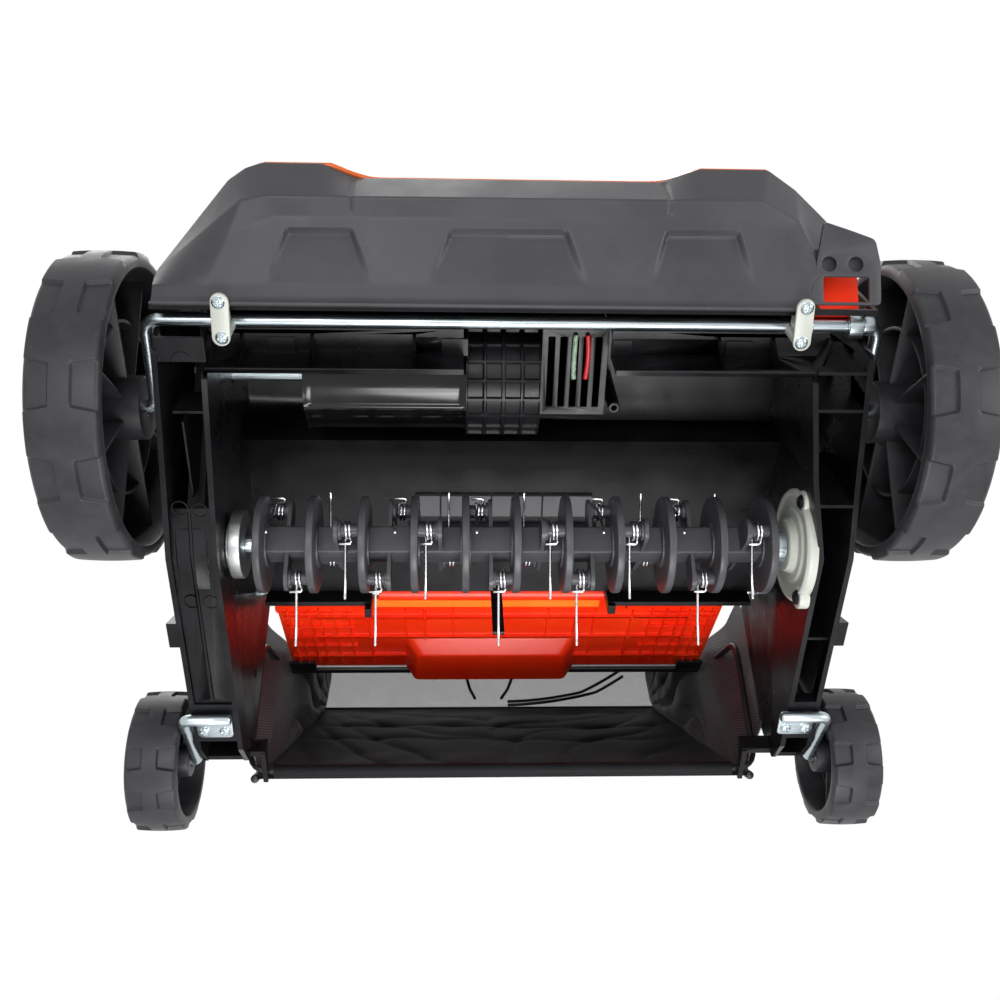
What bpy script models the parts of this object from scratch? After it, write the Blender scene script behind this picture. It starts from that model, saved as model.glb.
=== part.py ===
"""Electric lawn scarifier with a spring tine roller, a grass bag and a folding handle.

Metres, +Z up. The machine drives towards -Y, and +X is the driver's left. Sizes are given from the
point on the ground below the front wheels. The empty "scarifier" then moves the whole machine, so that
its origin lies on the ground under the middle of its outline.
"""

import math

import bmesh
import bpy
from mathutils import Matrix, Vector

# Clearances
SEAT_GAP = 0.0003
RUNNING_GAP = 0.0015

# Wheels
FRONT_WHEEL_RADIUS = 0.100
FRONT_WHEEL_WIDTH = 0.040
FRONT_WHEEL_TEETH = 18
REAR_WHEEL_RADIUS = 0.050
REAR_WHEEL_WIDTH = 0.036
REAR_WHEEL_TEETH = 14
WHEELBASE = 0.263
TREAD_DEPTH = 0.0035
TYRE_WALL = 0.011
WHEEL_WEB = 0.006
SPOKE_WALL = 0.0025
AXLE_ROD_RADIUS = 0.004

# Deck
DECK_HALF_WIDTH = 0.223
DECK_WALL = 0.0035
RIM_Z = 0.036
DECK_TOP_Z = 0.184
DECK_REAR_Y = 0.262
LEFT_CHANNEL = 0.033
RIGHT_CHANNEL = 0.023
CROSS_WALL_Y = -0.038
CROSS_WALL_Z = 0.070
BAY_FRONT_Y = -0.054
BAY_REAR_Y = 0.046
NOSE_WALL_Y = -0.076
NOSE_ROOF_Z = 0.134
ROOF_REAR_Y = 0.186
REAR_BEAM_FRONT_Y = 0.125

# Front fascia
FASCIA_WALL = 0.0028
FASCIA_LOW_Z = 0.0715
FASCIA_TOP_Z = 0.135
PLATEAU_Y = -0.150
CENTRE_SETBACK = 0.0085
POCKET_DEPTH = 0.0018
EAR_PLATE_Y = -0.083
EAR_PLATE_Z = 0.0758
EAR_PLATE_LENGTH = 0.045
EAR_PLATE_SLOPE = 32.4
EAR_HOLE_RADIUS = 0.0046
WINDOW_LENGTH = 0.018

# Top cover
COVER_WALL = 0.003
COVER_SEAT = 0.0016
COVER_INSET = 0.023
COVER_REAR_Y = 0.134
COVER_CROWN_Z = 0.236

# Front axle and depth lever
AXLE_PIVOT_Y = -0.064
AXLE_PIVOT_Z = 0.092
AXLE_CLEARANCE = 0.007
AXLE_BEND = 0.008
CLAMP_INSETS = (0.006, 0.024)
CLAMP_WIDTH = 0.012
CLAMP_WALL = 0.0025
LEVER_INSET = 0.009
LEVER_THICKNESS = 0.008
LEVER_LENGTH = 0.140
LEVER_HALF_WIDTH = 0.004
LEVER_EYE_RADIUS = 0.008
LEVER_FOOT_WIDTH = 0.028
LEVER_FOOT_LENGTH = 0.036
LEVER_FOOT_SLOPE = 40.0
LEVER_GRIP_LENGTH = 0.036
LEVER_SLOT_REAR_Y = -0.034

# Rear axles
REAR_AXLE_CLEARANCE = 0.0045
REAR_SEAT_Y = 0.208
REAR_PLATE_INSET = 0.016
REAR_PLATE_LENGTH = 0.025
REAR_PLATE_WIDTH = 0.018
REAR_PLATE_THICKNESS = 0.002
SCREW_HEAD_RADIUS = 0.0035

# Tine roller
ROLLER_Y = 0.088
ROLLER_Z = 0.072
ROLLER_ROOM = 0.084
ROLLER_END_ROOM = 0.0225
ROLLER_SHIFT = -0.002
DISC_COUNT = 11
DISC_RADIUS = 0.033
DISC_THICKNESS = 0.005
CORE_HALF_SIDE = 0.0095
ROLLER_SHAFT_RADIUS = 0.006
CARRIER_THICKNESS = 0.0025
CARRIER_LOBE_RADIUS = 0.0085
STUD_ORBIT = 0.0245
STUD_RADIUS = 0.0045
TINE_OFFSET_SHARES = (0.28, 0.72)
FIRST_ROW_ANGLE = -55.0

# Tines
TINE_WIRE_RADIUS = 0.0009
TINE_PITCH = 0.0024
TINE_CURL_POINTS = 8
TINE_LEG = 0.034
TINE_TIP = 0.012
TINE_TIP_BEND = 12.0
TINE_HOOK_REACH = 0.0032
TINE_HOOK_SHARE = 0.235

# Roller bearings
LEFT_RING_RADIUS = 0.022
LEFT_RING_WIDTH = 0.008
RIGHT_SLEEVE_RADIUS = 0.0135
RIGHT_SLEEVE_WIDTH = 0.009
HOLDER_RADIUS = 0.039
HOLDER_FLANGE = 0.0075
HOLDER_HUB_RADIUS = 0.019
HOLDER_HUB = 0.005

# Motor and belt drive
MOTOR_Y = -0.008
MOTOR_Z = 0.139
MOTOR_INSET = 0.052
MOTOR_CAN_LENGTH = 0.107
MOTOR_CAN_RADIUS = 0.038
FAN_CASE_RADIUS = 0.041
FAN_CASE_LENGTH = 0.049
MOTOR_WALL = 0.0035
MOTOR_SHAFT_RADIUS = 0.005
PINION_RADIUS = 0.010
PULLEY_RADIUS = 0.026
PULLEY_WIDTH = 0.013
PULLEY_GAP = 0.017
BELT_THICKNESS = 0.0025
BELT_WIDTH = 0.011
GRILLE_WIDTH = 0.044
GRILLE_REAR_Y = 0.008
GRILLE_LOW_Z = 0.110
GRILLE_WALL = 0.0025
GRILLE_SLOTS = 5
GRILLE_SLOT_WIDTH = 0.0042
BELT_COVER_THICKNESS = 0.0025
BELT_COVER_RISE = 0.0018

# Rear flap
HINGE_Y = 0.198
HINGE_Z = 0.172
HINGE_PIN_RADIUS = 0.003
HINGE_BARREL_RADIUS = 0.007
HINGE_BARREL_HALF = 0.100
FLAP_INSET = 0.037
FLAP_LENGTH = 0.135
FLAP_THICKNESS = 0.003
FLAP_ANGLE = 25.6
FLAP_RIB_HEIGHT = 0.004
FLAP_RIB_WALL = 0.0014
FLAP_GRIP_SHARE = 0.30
FLAP_GRIP_DEPTH = 0.012
FLAP_SPRING_CURLS = 5
FLAP_SPRING_WIRE = 0.0008

# Grass bag
BAG_WALL = 0.0025
BAG_REACH = 0.218
BAG_HEIGHT = 0.390
BAG_INSET = 0.004
FRAME_WIRE_RADIUS = 0.0025
FRAME_BEND = 0.012
FRAME_INSET = 0.029
MOUTH_LOW_Y = 0.2845
MOUTH_LOW_Z = 0.060
KNEE_BACK = 0.047
KNEE_RISE = 0.098
FLAP_TIP_GAP = 0.0035
TAB_WIDTH = 0.014
TAB_REACH = 0.014
TAB_THICKNESS = 0.002
HEM_INSET = 0.019
HEM_WALL = 0.0016
LUG_THICKNESS = 0.0035

# Handle
HANDLE_ANGLE = 46.0
PIVOT_Y = 0.160
PIVOT_Z = 0.215
TUBE_RADIUS = 0.0105
TUBE_WALL = 0.0015
EAR_INSET = 0.033
EAR_THICKNESS = 0.006
EAR_HALF_LENGTH = 0.016
LOWER_LENGTH = 0.440
HANDLE_LENGTH = 1.060
TUBE_END = 0.014
BRACE_BACK = 0.040
BRACE_RADIUS = 0.008
HANDLE_BEND = 0.055
BOLT_RADIUS = 0.004
KNOB_RADIUS = 0.017
KNOB_LENGTH = 0.020
KNOB_LOBES = 6

# Switch
SWITCH_BACK = 0.100
BOX_WIDTH = 0.1124
BOX_HALF_LENGTH = 0.044
BOX_LOW = -0.022
BOX_HIGH = 0.024
BAIL_RADIUS = 0.004
BAIL_ARM = 0.098
BAIL_ANGLE = 40.0
BAIL_BOX_GAP = 0.011
BAIL_TUBE_GAP = 0.0381
BUTTON_RADIUS = 0.008
BUTTON_INSET = 0.0574
BUTTON_PROUD = 0.006
BUTTON_TRAVEL = 0.004
INLET_DEPTH = 0.008

# Sizes that follow from those above
CAVITY_LEFT_X = LEFT_CHANNEL - DECK_HALF_WIDTH
CAVITY_RIGHT_X = DECK_HALF_WIDTH - RIGHT_CHANNEL
AXLE_ARM_X = DECK_HALF_WIDTH + AXLE_CLEARANCE
REAR_ARM_X = DECK_HALF_WIDTH + REAR_AXLE_CLEARANCE
CLAMP_X = (CAVITY_LEFT_X + CLAMP_INSETS[0], CAVITY_RIGHT_X - CLAMP_INSETS[1])
LEVER_X = DECK_HALF_WIDTH - LEVER_INSET
REAR_PLATE_X = DECK_HALF_WIDTH - REAR_PLATE_INSET
COVER_HALF_WIDTH = DECK_HALF_WIDTH - COVER_INSET
FLAP_HALF_WIDTH = DECK_HALF_WIDTH - FLAP_INSET
FLAP_GRIP_HALF = FLAP_HALF_WIDTH * FLAP_GRIP_SHARE
FRAME_HALF_WIDTH = DECK_HALF_WIDTH - FRAME_INSET
BAG_HALF_WIDTH = FRAME_HALF_WIDTH - BAG_INSET
HEM_HALF_LENGTH = FRAME_HALF_WIDTH - HEM_INSET
EAR_INNER_X = DECK_HALF_WIDTH - EAR_INSET
ROLLER_MIDDLE_X = (CAVITY_LEFT_X + CAVITY_RIGHT_X) / 2 + ROLLER_SHIFT
ROLLER_SPAN = CAVITY_RIGHT_X - CAVITY_LEFT_X - 2 * ROLLER_END_ROOM
DISC_PITCH = (ROLLER_SPAN - DISC_THICKNESS) / (DISC_COUNT - 1)
MOTOR_LEFT_X = CAVITY_LEFT_X + MOTOR_INSET
PULLEY_MIDDLE_X = CAVITY_LEFT_X - PULLEY_GAP
FRONT_WHEEL_INNER_X = AXLE_ARM_X + AXLE_ROD_RADIUS + 0.0075
REAR_WHEEL_INNER_X = REAR_ARM_X + AXLE_ROD_RADIUS + 0.0005
SHELF_Z = AXLE_PIVOT_Z + AXLE_ROD_RADIUS + 0.0005
BAY_ROOF_Z = DECK_TOP_Z - DECK_WALL
DISC_SPAN = DISC_PITCH * (DISC_COUNT - 1) + DISC_THICKNESS
COIL_RADIUS = (STUD_RADIUS + SEAT_GAP + TINE_WIRE_RADIUS) / math.cos(math.pi / TINE_CURL_POINTS)
FAN_CASE_LEFT_X = MOTOR_LEFT_X + MOTOR_CAN_LENGTH
MOTOR_RIGHT_X = FAN_CASE_LEFT_X + FAN_CASE_LENGTH
LOWER_TUBE_X = EAR_INNER_X + EAR_THICKNESS + SEAT_GAP + TUBE_RADIUS
UPPER_TUBE_X = LOWER_TUBE_X + 2 * TUBE_RADIUS + SEAT_GAP
SWITCH_S = HANDLE_LENGTH - SWITCH_BACK
BOX_OUTER_X = UPPER_TUBE_X - TUBE_RADIUS - SEAT_GAP
BOX_INNER_X = BOX_OUTER_X - BOX_WIDTH
BAIL_RIGHT_X = BOX_INNER_X - BAIL_BOX_GAP
BAIL_LEFT_X = BAIL_TUBE_GAP - UPPER_TUBE_X
BUTTON_X = BOX_OUTER_X - BUTTON_INSET
HANDLE_REACH = HANDLE_LENGTH * math.cos(math.radians(HANDLE_ANGLE)) + TUBE_RADIUS
OUTLINE_MIDDLE_Y = (PLATEAU_Y + PIVOT_Y + HANDLE_REACH) / 2

# The fascia's rows: (share of the deck's half width, share of the nose's depth, share of the fascia's height)
FASCIA_LOWER_EDGE = (
    (-0.982, 0.811, 0.150), (-0.841, 0.804, 0.150), (-0.762, 0.800, 0.150), (-0.673, 0.790, 0.150),
    (-0.534, 0.790, 0.150), (-0.439, 0.790, 0.150), (0.395, 0.785, 0.150), (0.498, 0.785, 0.150),
    (0.632, 0.785, 0.150), (0.717, 0.784, 0.150), (0.771, 0.777, 0.150), (0.803, 0.777, 0.150),
)
FASCIA_LOWER_CREASE = (
    (-0.996, 0.818, 0.417), (-0.782, 0.453, 0.394), (-0.717, 0.385, 0.433), (-0.656, 0.327, 0.477),
    (-0.534, 0.322, 0.477), (-0.439, 0.322, 0.477), (0.395, 0.310, 0.477), (0.498, 0.305, 0.477),
    (0.632, 0.301, 0.477), (0.735, 0.385, 0.449), (0.782, 0.595, 0.291), (0.810, 0.728, 0.185),
)
FASCIA_UPPER_CREASE = (
    (-0.998, 0.811, 0.638), (-0.747, 0.204, 0.515), (-0.709, 0.182, 0.515), (-0.673, 0.165, 0.515),
    (-0.534, 0.165, 0.515), (-0.439, 0.165, 0.515), (0.395, 0.157, 0.515), (0.498, 0.155, 0.515),
    (0.660, 0.153, 0.515), (0.774, 0.322, 0.515), (0.812, 0.541, 0.370), (0.832, 0.690, 0.220),
)
FASCIA_UPPER_EDGE = (
    (-0.998, 0.811, 1.0), (-0.802, 0.147, 1.0), (-0.752, 0.047, 1.0), (-0.705, 0.0, 1.0),
    (-0.540, 0.0, 1.0), (-0.446, 0.115, 1.0), (0.403, 0.115, 1.0), (0.511, 0.0, 1.0),
    (0.704, 0.0, 1.0), (0.790, 0.162, 1.0), (0.874, 0.372, 1.0), (0.897, 0.432, 1.0),
)
# Middle, upper half width and lower half width of each pocket, as shares of the deck's half width
FASCIA_POCKETS = ((-0.539, 0.087, 0.150), (-0.027, 0.158, 0.222), (0.504, 0.100, 0.152))
# Side view of the bag behind its lower lip, as shares of its reach and height
BAG_PROFILE = ((0.977, 0.805), (1.0, 0.867), (0.885, 0.969), (0.518, 1.0), (0.298, 0.713))

# Ways in which a vertical slice is written: (y, z) pairs, extruded along X
AXES = {"X": (1, 2, 0), "Y": (0, 2, 1), "Z": (0, 1, 2)}


def clear_scene():
    """Remove whatever the file holds."""
    for old in list(bpy.data.objects):
        bpy.data.objects.remove(old, do_unlink=True)


def material(name, colour, roughness, metallic=0.0):
    """Make a plain surface with a base colour, roughness and metallic value."""
    made = bpy.data.materials.new(name)
    made.use_nodes = True
    surface = made.node_tree.nodes["Principled BSDF"]
    surface.inputs["Base Color"].default_value = (*colour, 1.0)
    surface.inputs["Roughness"].default_value = roughness
    surface.inputs["Metallic"].default_value = metallic
    return made


def mesh_of(points, faces):
    """Make a mesh whose faces point outwards."""
    mesh = bpy.data.meshes.new("shape")
    mesh.from_pydata([tuple(p) for p in points], [], faces)
    grid = bmesh.new()
    grid.from_mesh(mesh)
    bmesh.ops.remove_doubles(grid, verts=grid.verts, dist=1e-7)
    bmesh.ops.recalc_face_normals(grid, faces=grid.faces)
    grid.to_mesh(mesh)
    grid.free()
    return mesh


def prism(outline, low, high, axis="X"):
    """Extrude an outline along an axis. It holds (y, z) pairs for X, (x, z) for Y and (x, y) for Z."""
    first, second, along = AXES[axis]
    points = []
    for end in (low, high):
        for pair in outline:
            point = [0.0, 0.0, 0.0]
            point[first], point[second], point[along] = pair[0], pair[1], end
            points.append(point)
    count = len(outline)
    faces = [tuple(range(count)), tuple(range(2 * count - 1, count - 1, -1))]
    for i in range(count):
        j = (i + 1) % count
        faces.append((i, j, count + j, count + i))
    return mesh_of(points, faces)


def box(x0, x1, y0, y1, z0, z1):
    """Make a block from its lowest and highest corners."""
    return prism([(y0, z0), (y1, z0), (y1, z1), (y0, z1)], x0, x1)


def circle(y, z, radius, sides=16, start=0.0):
    """List the corners of a regular polygon."""
    turns = [2 * math.pi * k / sides + start for k in range(sides)]
    return [(y + radius * math.cos(a), z + radius * math.sin(a)) for a in turns]


def arc(y, z, radius, first, last, steps):
    """List points along an arc, from the first to the last angle in degrees."""
    turns = [math.radians(first + (last - first) * k / steps) for k in range(steps + 1)]
    return [(y + radius * math.cos(a), z + radius * math.sin(a)) for a in turns]


def rod_x(x0, x1, y, z, radius, sides=16):
    """Make a round bar along X."""
    return prism(circle(y, z, radius, sides), x0, x1)


def bore_x(x0, x1, y, z, radius, sides=8):
    """Make a cutter along X with its flats at the radius, turned so that its corners miss the piece's."""
    return prism(circle(y, z, radius / math.cos(math.pi / sides), sides, 0.13), x0, x1)


def turned(profile, y, z, sides=20):
    """Turn a closed profile of (x, radius) pairs round an axis along X at (y, z)."""
    points, rings = [], []
    for x, radius in profile:
        rings.append(len(points))
        for a, b in [(y, z)] if radius == 0 else circle(y, z, radius, sides):
            points.append((x, a, b))
    faces = []
    for i, (_, radius) in enumerate(profile):
        j = (i + 1) % len(profile)
        other = profile[j][1]
        for k in range(sides):
            n = (k + 1) % sides
            if radius and other:
                faces.append((rings[i] + k, rings[i] + n, rings[j] + n, rings[j] + k))
            elif radius:
                faces.append((rings[i] + k, rings[i] + n, rings[j]))
            elif other:
                faces.append((rings[i], rings[j] + n, rings[j] + k))
    return mesh_of(points, faces)


def offset(points, distance):
    """Move an open line of (y, z) points to its left by a distance, with mitred corners."""
    moved = []
    for i, point in enumerate(points):
        here = Vector(point)
        into = (here - Vector(points[i - 1])).normalized() if i else None
        out = (Vector(points[i + 1]) - here).normalized() if i + 1 < len(points) else into
        into = into or out
        left, other = Vector((-into.y, into.x)), Vector((-out.y, out.x))
        middle = (left + other).normalized()
        moved.append(tuple(here + middle * distance / max(middle.dot(left), 0.3)))
    return moved


def ribbon(points, thickness, low, high):
    """Give a line of (y, z) points a wall to its left, and extrude it along X."""
    return prism(list(points) + offset(points, thickness)[::-1], low, high)


def rounded(points, radius, steps=4):
    """Replace each inner corner of a line by a curve that starts and ends a radius away from it."""
    corners = [Vector(p) for p in points]
    path = [corners[0]]
    for before, here, after in zip(corners, corners[1:], corners[2:]):
        start = here + (before - here).normalized() * radius
        end = here + (after - here).normalized() * radius
        for k in range(steps + 1):
            t = k / steps
            path.append(start * (1 - t) ** 2 + here * 2 * t * (1 - t) + end * t**2)
    path.append(corners[-1])
    return path


def swept(path, radius, sides=10, closed=False):
    """Make a round bar along a path, with a frame that turns as little as it can."""
    count = len(path)
    points, faces = [], []
    normal = None
    for i in range(count):
        before = path[i - 1] if i or closed else path[0]
        after = path[(i + 1) % count] if i + 1 < count or closed else path[-1]
        along = (after - before).normalized()
        normal = along.orthogonal() if normal is None else normal - along * normal.dot(along)
        normal.normalize()
        side = along.cross(normal)
        for k in range(sides):
            a = 2 * math.pi * k / sides
            points.append(path[i] + (normal * math.cos(a) + side * math.sin(a)) * radius)
    for i in range(count if closed else count - 1):
        j = (i + 1) % count
        for k in range(sides):
            n = (k + 1) % sides
            faces.append((i * sides + k, i * sides + n, j * sides + n, j * sides + k))
    if not closed:
        faces.append(tuple(range(sides)))
        faces.append(tuple(range((count - 1) * sides, count * sides)))
    return mesh_of(points, faces)


def merged(meshes):
    """Put several meshes that don't touch into one."""
    grid = bmesh.new()
    for mesh in meshes:
        grid.from_mesh(mesh)
    joined = bpy.data.meshes.new("shapes")
    grid.to_mesh(joined)
    grid.free()
    return joined


def moved(mesh, matrix):
    """Place a mesh with a matrix."""
    mesh.transform(matrix)
    return mesh


def evaluated(worker):
    """Return the mesh that an object's modifiers make, and remove the object."""
    graph = bpy.context.evaluated_depsgraph_get()
    mesh = bpy.data.meshes.new_from_object(worker.evaluated_get(graph))
    bpy.data.objects.remove(worker, do_unlink=True)
    return mesh


def combined(base, add=(), cut=()):
    """Join meshes with the base, then cut others from it."""
    scene = bpy.context.scene.collection.objects
    worker = bpy.data.objects.new("worker", base)
    scene.link(worker)
    tools = []
    for operation, meshes in (("UNION", add), ("DIFFERENCE", cut)):
        for mesh in meshes:
            tool = bpy.data.objects.new("tool", mesh)
            scene.link(tool)
            tools.append(tool)
            modifier = worker.modifiers.new(operation, "BOOLEAN")
            modifier.operation = operation
            modifier.object = tool
    mesh = evaluated(worker)
    for tool in tools:
        bpy.data.objects.remove(tool, do_unlink=True)
    return mesh


def thickened(surface, thickness):
    """Give an open surface a wall behind its faces."""
    worker = bpy.data.objects.new("worker", surface)
    bpy.context.scene.collection.objects.link(worker)
    modifier = worker.modifiers.new("Wall", "SOLIDIFY")
    modifier.thickness = thickness
    modifier.offset = -1.0
    modifier.use_even_offset = True
    modifier.thickness_clamp = 1.0
    return evaluated(worker)


class Frame:
    """An empty that carries pieces. Its place is given in the machine's own sizes."""

    def __init__(self, name, place, parent=None):
        self.place = Vector(place)
        self.empty = bpy.data.objects.new(name, None)
        bpy.context.scene.collection.objects.link(self.empty)
        if parent:
            self.empty.parent = parent.empty
            self.empty.location = self.place - parent.place

    def carry(self, name, data, surface, smooth=30.0):
        """Add a piece, modelled in the machine's own sizes, with its origin at this frame."""
        data.transform(Matrix.Translation(-self.place))
        data.materials.clear()
        data.materials.append(surface)
        piece = bpy.data.objects.new(name, data)
        if piece.type == "MESH":
            data.shade_smooth()
            data.set_sharp_from_angle(angle=math.radians(smooth))
        bpy.context.scene.collection.objects.link(piece)
        piece.parent = self.empty
        return piece


def lean(angle, y, z):
    """Matrix that takes (x, distance along, height above) to a leaning part's place."""
    return Matrix.Translation((0, y, z)) @ Matrix.Rotation(math.radians(angle), 4, "X")


def disc_x(index):
    """Middle of a roller disc."""
    return ROLLER_MIDDLE_X + (index - (DISC_COUNT - 1) / 2) * DISC_PITCH


def row_angle(row):
    """Angle of a row of tines round the roller."""
    return FIRST_ROW_ANGLE - 90.0 * row


def deck_side_outline():
    """Outer side wall, seen along X, from the rod's clearance back to the tail."""
    return [
        (NOSE_WALL_Y, SHELF_Z),
        (BAY_FRONT_Y, SHELF_Z),
        (CROSS_WALL_Y - 0.012, RIM_Z),
        (DECK_REAR_Y - 0.022, RIM_Z),
        (DECK_REAR_Y, RIM_Z + 0.012),
        (DECK_REAR_Y, RIM_Z + 0.042),
        (HINGE_Y + 0.016, HINGE_Z + 0.004),
        (HINGE_Y + 0.008, DECK_TOP_Z),
        (BAY_FRONT_Y, DECK_TOP_Z),
        (NOSE_WALL_Y, NOSE_ROOF_Z),
    ]


def deck_inner_outline():
    """Wall between the roller cavity and a side channel."""
    return [
        (BAY_FRONT_Y, SHELF_Z),
        (CROSS_WALL_Y, CROSS_WALL_Z),
        (CROSS_WALL_Y + 0.004, RIM_Z),
    ] + deck_side_outline()[3:9]


def deck_roof_line():
    """Underside of the cross wall, motor bay and roller roof, from front to rear."""
    shelf = SHELF_Z + DECK_WALL
    return [
        (CROSS_WALL_Y, CROSS_WALL_Z),
        (CROSS_WALL_Y, shelf),
        (BAY_FRONT_Y, shelf),
        (BAY_FRONT_Y, BAY_ROOF_Z),
        (BAY_REAR_Y, BAY_ROOF_Z),
        *arc(ROLLER_Y, ROLLER_Z, ROLLER_ROOM, 120, 90, 3),
        (ROOF_REAR_Y, ROLLER_Z + ROLLER_ROOM),
        (ROOF_REAR_Y, DECK_TOP_Z),
    ]


def deck_ribs():
    """Fins in the front zone and cross ribs in the side channels."""
    ribs = []
    for share in (-0.771, -0.574, -0.287, 0.583, 0.740):
        x = share * DECK_HALF_WIDTH
        fin = [
            (BAY_FRONT_Y - 0.002, SHELF_Z + 0.001),
            (CROSS_WALL_Y - 0.002, SHELF_Z + 0.001),
            (CROSS_WALL_Y - 0.002, CROSS_WALL_Z + 0.002),
        ]
        ribs.append(prism(fin, x - 0.001, x + 0.001))
    right = (CAVITY_RIGHT_X + 0.001, DECK_HALF_WIDTH - 0.001)
    for y in (-0.030, -0.004, 0.068, 0.165):
        ribs.append(box(*right, y - 0.001, y + 0.001, RIM_Z + 0.006, 0.120))
    return ribs


def deck_housing():
    """Black moulded deck with its roller cavity, side channels, bosses, lugs and handle ears."""
    left, right = CAVITY_LEFT_X, CAVITY_RIGHT_X
    wide = DECK_HALF_WIDTH
    inner = deck_inner_outline()
    outer = deck_side_outline()
    left_room, right_room = (-wide + 0.001, left - 0.001), (right + 0.001, wide - 0.001)
    beam_top = DECK_TOP_Z - 0.0004
    shell = ribbon(deck_roof_line(), DECK_WALL, left - DECK_WALL / 2, right + DECK_WALL / 2)
    rear, beyond = DECK_REAR_Y, HINGE_Y + 0.007
    tail = [(rear, RIM_Z + 0.013), (rear, RIM_Z + 0.042), (HINGE_Y + 0.016, HINGE_Z + 0.004)]
    nose_low = FASCIA_LOW_Z + 0.001
    nose = [(NOSE_WALL_Y, nose_low), (NOSE_WALL_Y, NOSE_ROOF_Z), (BAY_FRONT_Y - 0.002, NOSE_ROOF_Z)]
    add = [
        prism(inner, left - DECK_WALL, left),
        prism(inner, right, right + DECK_WALL),
        prism(outer, -wide, -wide + DECK_WALL),
        prism(outer, wide - DECK_WALL, wide),
        box(*left_room, BAY_FRONT_Y - 0.001, beyond, BAY_ROOF_Z, DECK_TOP_Z - 0.0002),
        box(*left_room, BAY_FRONT_Y - 0.002, BAY_FRONT_Y, NOSE_ROOF_Z - 0.001, BAY_ROOF_Z + 0.001),
        box(*right_room, LEVER_SLOT_REAR_Y, beyond, BAY_ROOF_Z, DECK_TOP_Z - 0.0002),
        box(left - 0.001, right + 0.001, REAR_BEAM_FRONT_Y, ROOF_REAR_Y - 0.001, BAY_ROOF_Z, beam_top),
        ribbon(nose, DECK_WALL, -wide + 0.001, wide - 0.001),
    ]
    for room in (left_room, right_room):
        add.append(ribbon(tail, DECK_WALL, *room))
        seat_front = REAR_SEAT_Y - 0.010
        add.append(box(*room, seat_front, seat_front + 0.034, RIM_Z + 0.0002, RIM_Z + 0.010))
    for x in CLAMP_X:
        half = CLAMP_WIDTH / 2 + 0.002
        across = (x - half, x + half)
        add.append(box(*across, NOSE_WALL_Y - 0.001, BAY_FRONT_Y - 0.001, SHELF_Z, NOSE_ROOF_Z + 0.001))
    ear_low = DECK_TOP_Z - 0.002
    ear = [(PIVOT_Y - EAR_HALF_LENGTH, ear_low), (PIVOT_Y + EAR_HALF_LENGTH, ear_low)]
    ear += arc(PIVOT_Y, PIVOT_Z, EAR_HALF_LENGTH, 0, 180, 8)
    for side in (-1, 1):
        ends = sorted((side * EAR_INNER_X, side * (EAR_INNER_X + EAR_THICKNESS)))
        add.append(prism(ear, *ends))
    lug_x = FRAME_HALF_WIDTH - FRAME_BEND
    reach, root = MOUTH_LOW_Y + 0.003, rear - 0.003
    low = MOUTH_LOW_Z - FRAME_WIRE_RADIUS - SEAT_GAP
    lug = [(root, low - 0.006), (reach, low - 0.006), (reach, low), (reach - 0.010, low), (root, low + 0.008)]
    for side, wall in ((-1, left - 0.002), (1, right + 0.002)):
        inner = side * (lug_x - LUG_THICKNESS)
        add.append(prism(lug, *sorted((inner, side * lug_x))))
        add.append(box(*sorted((inner, wall)), root - 0.002, root + 0.0025, low - 0.0055, low + 0.0085))
    add += deck_ribs()
    notch = (BAY_FRONT_Y - 0.0085, CROSS_WALL_Y + 0.0035)
    lever_room = (LEVER_X - LEVER_FOOT_WIDTH + 0.0005, wide - DECK_WALL)
    cut = [
        box(FAN_CASE_LEFT_X - 0.002, MOTOR_RIGHT_X + GRILLE_WIDTH, *notch, CROSS_WALL_Z - 0.010, MOTOR_Z),
        box(*lever_room, NOSE_WALL_Y - 0.005, NOSE_WALL_Y + 0.010, EAR_PLATE_Z + 0.004, 0.150),
        box(LEVER_X - 0.0072, lever_room[1], NOSE_WALL_Y, BAY_FRONT_Y + 0.009, SHELF_Z + 0.002, 0.150),
        bore_x(left - 0.005, left + 0.002, ROLLER_Y, ROLLER_Z, ROLLER_SHAFT_RADIUS + RUNNING_GAP, 12),
        bore_x(left - 0.005, left + 0.002, MOTOR_Y, MOTOR_Z, MOTOR_SHAFT_RADIUS + RUNNING_GAP, 12),
        bore_x(-wide, wide, PIVOT_Y, PIVOT_Z, BOLT_RADIUS + SEAT_GAP),
    ]
    return combined(shell, add, cut)


def fascia_row(shares):
    """Place a row of shares on the nose."""
    depth, height = NOSE_WALL_Y - PLATEAU_Y, FASCIA_TOP_Z - FASCIA_LOW_Z
    wide, front, low = DECK_HALF_WIDTH, PLATEAU_Y, FASCIA_LOW_Z
    return [(x * wide, front + back * depth, low + up * height) for x, back, up in shares]


def fascia_rows():
    """Rows of points across the front, from the flange at the nose wall up to the edge under the cover."""
    lower = fascia_row(FASCIA_LOWER_EDGE)
    flange_y = NOSE_WALL_Y - DECK_WALL - FASCIA_WALL - SEAT_GAP - 0.0002
    top = []
    for (x, y, z), (_, back, _) in zip(fascia_row(FASCIA_UPPER_EDGE), FASCIA_UPPER_EDGE):
        top.append((x, PLATEAU_Y + CENTRE_SETBACK if back == 0.115 else y, z))
    return [
        [(x, flange_y, FASCIA_LOW_Z) for x, _, _ in lower],
        [(x, flange_y - 0.0010, FASCIA_LOW_Z + 0.0035) for x, _, _ in lower],
        lower,
        fascia_row(FASCIA_LOWER_CREASE),
        fascia_row(FASCIA_UPPER_CREASE),
        top,
    ]


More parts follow.
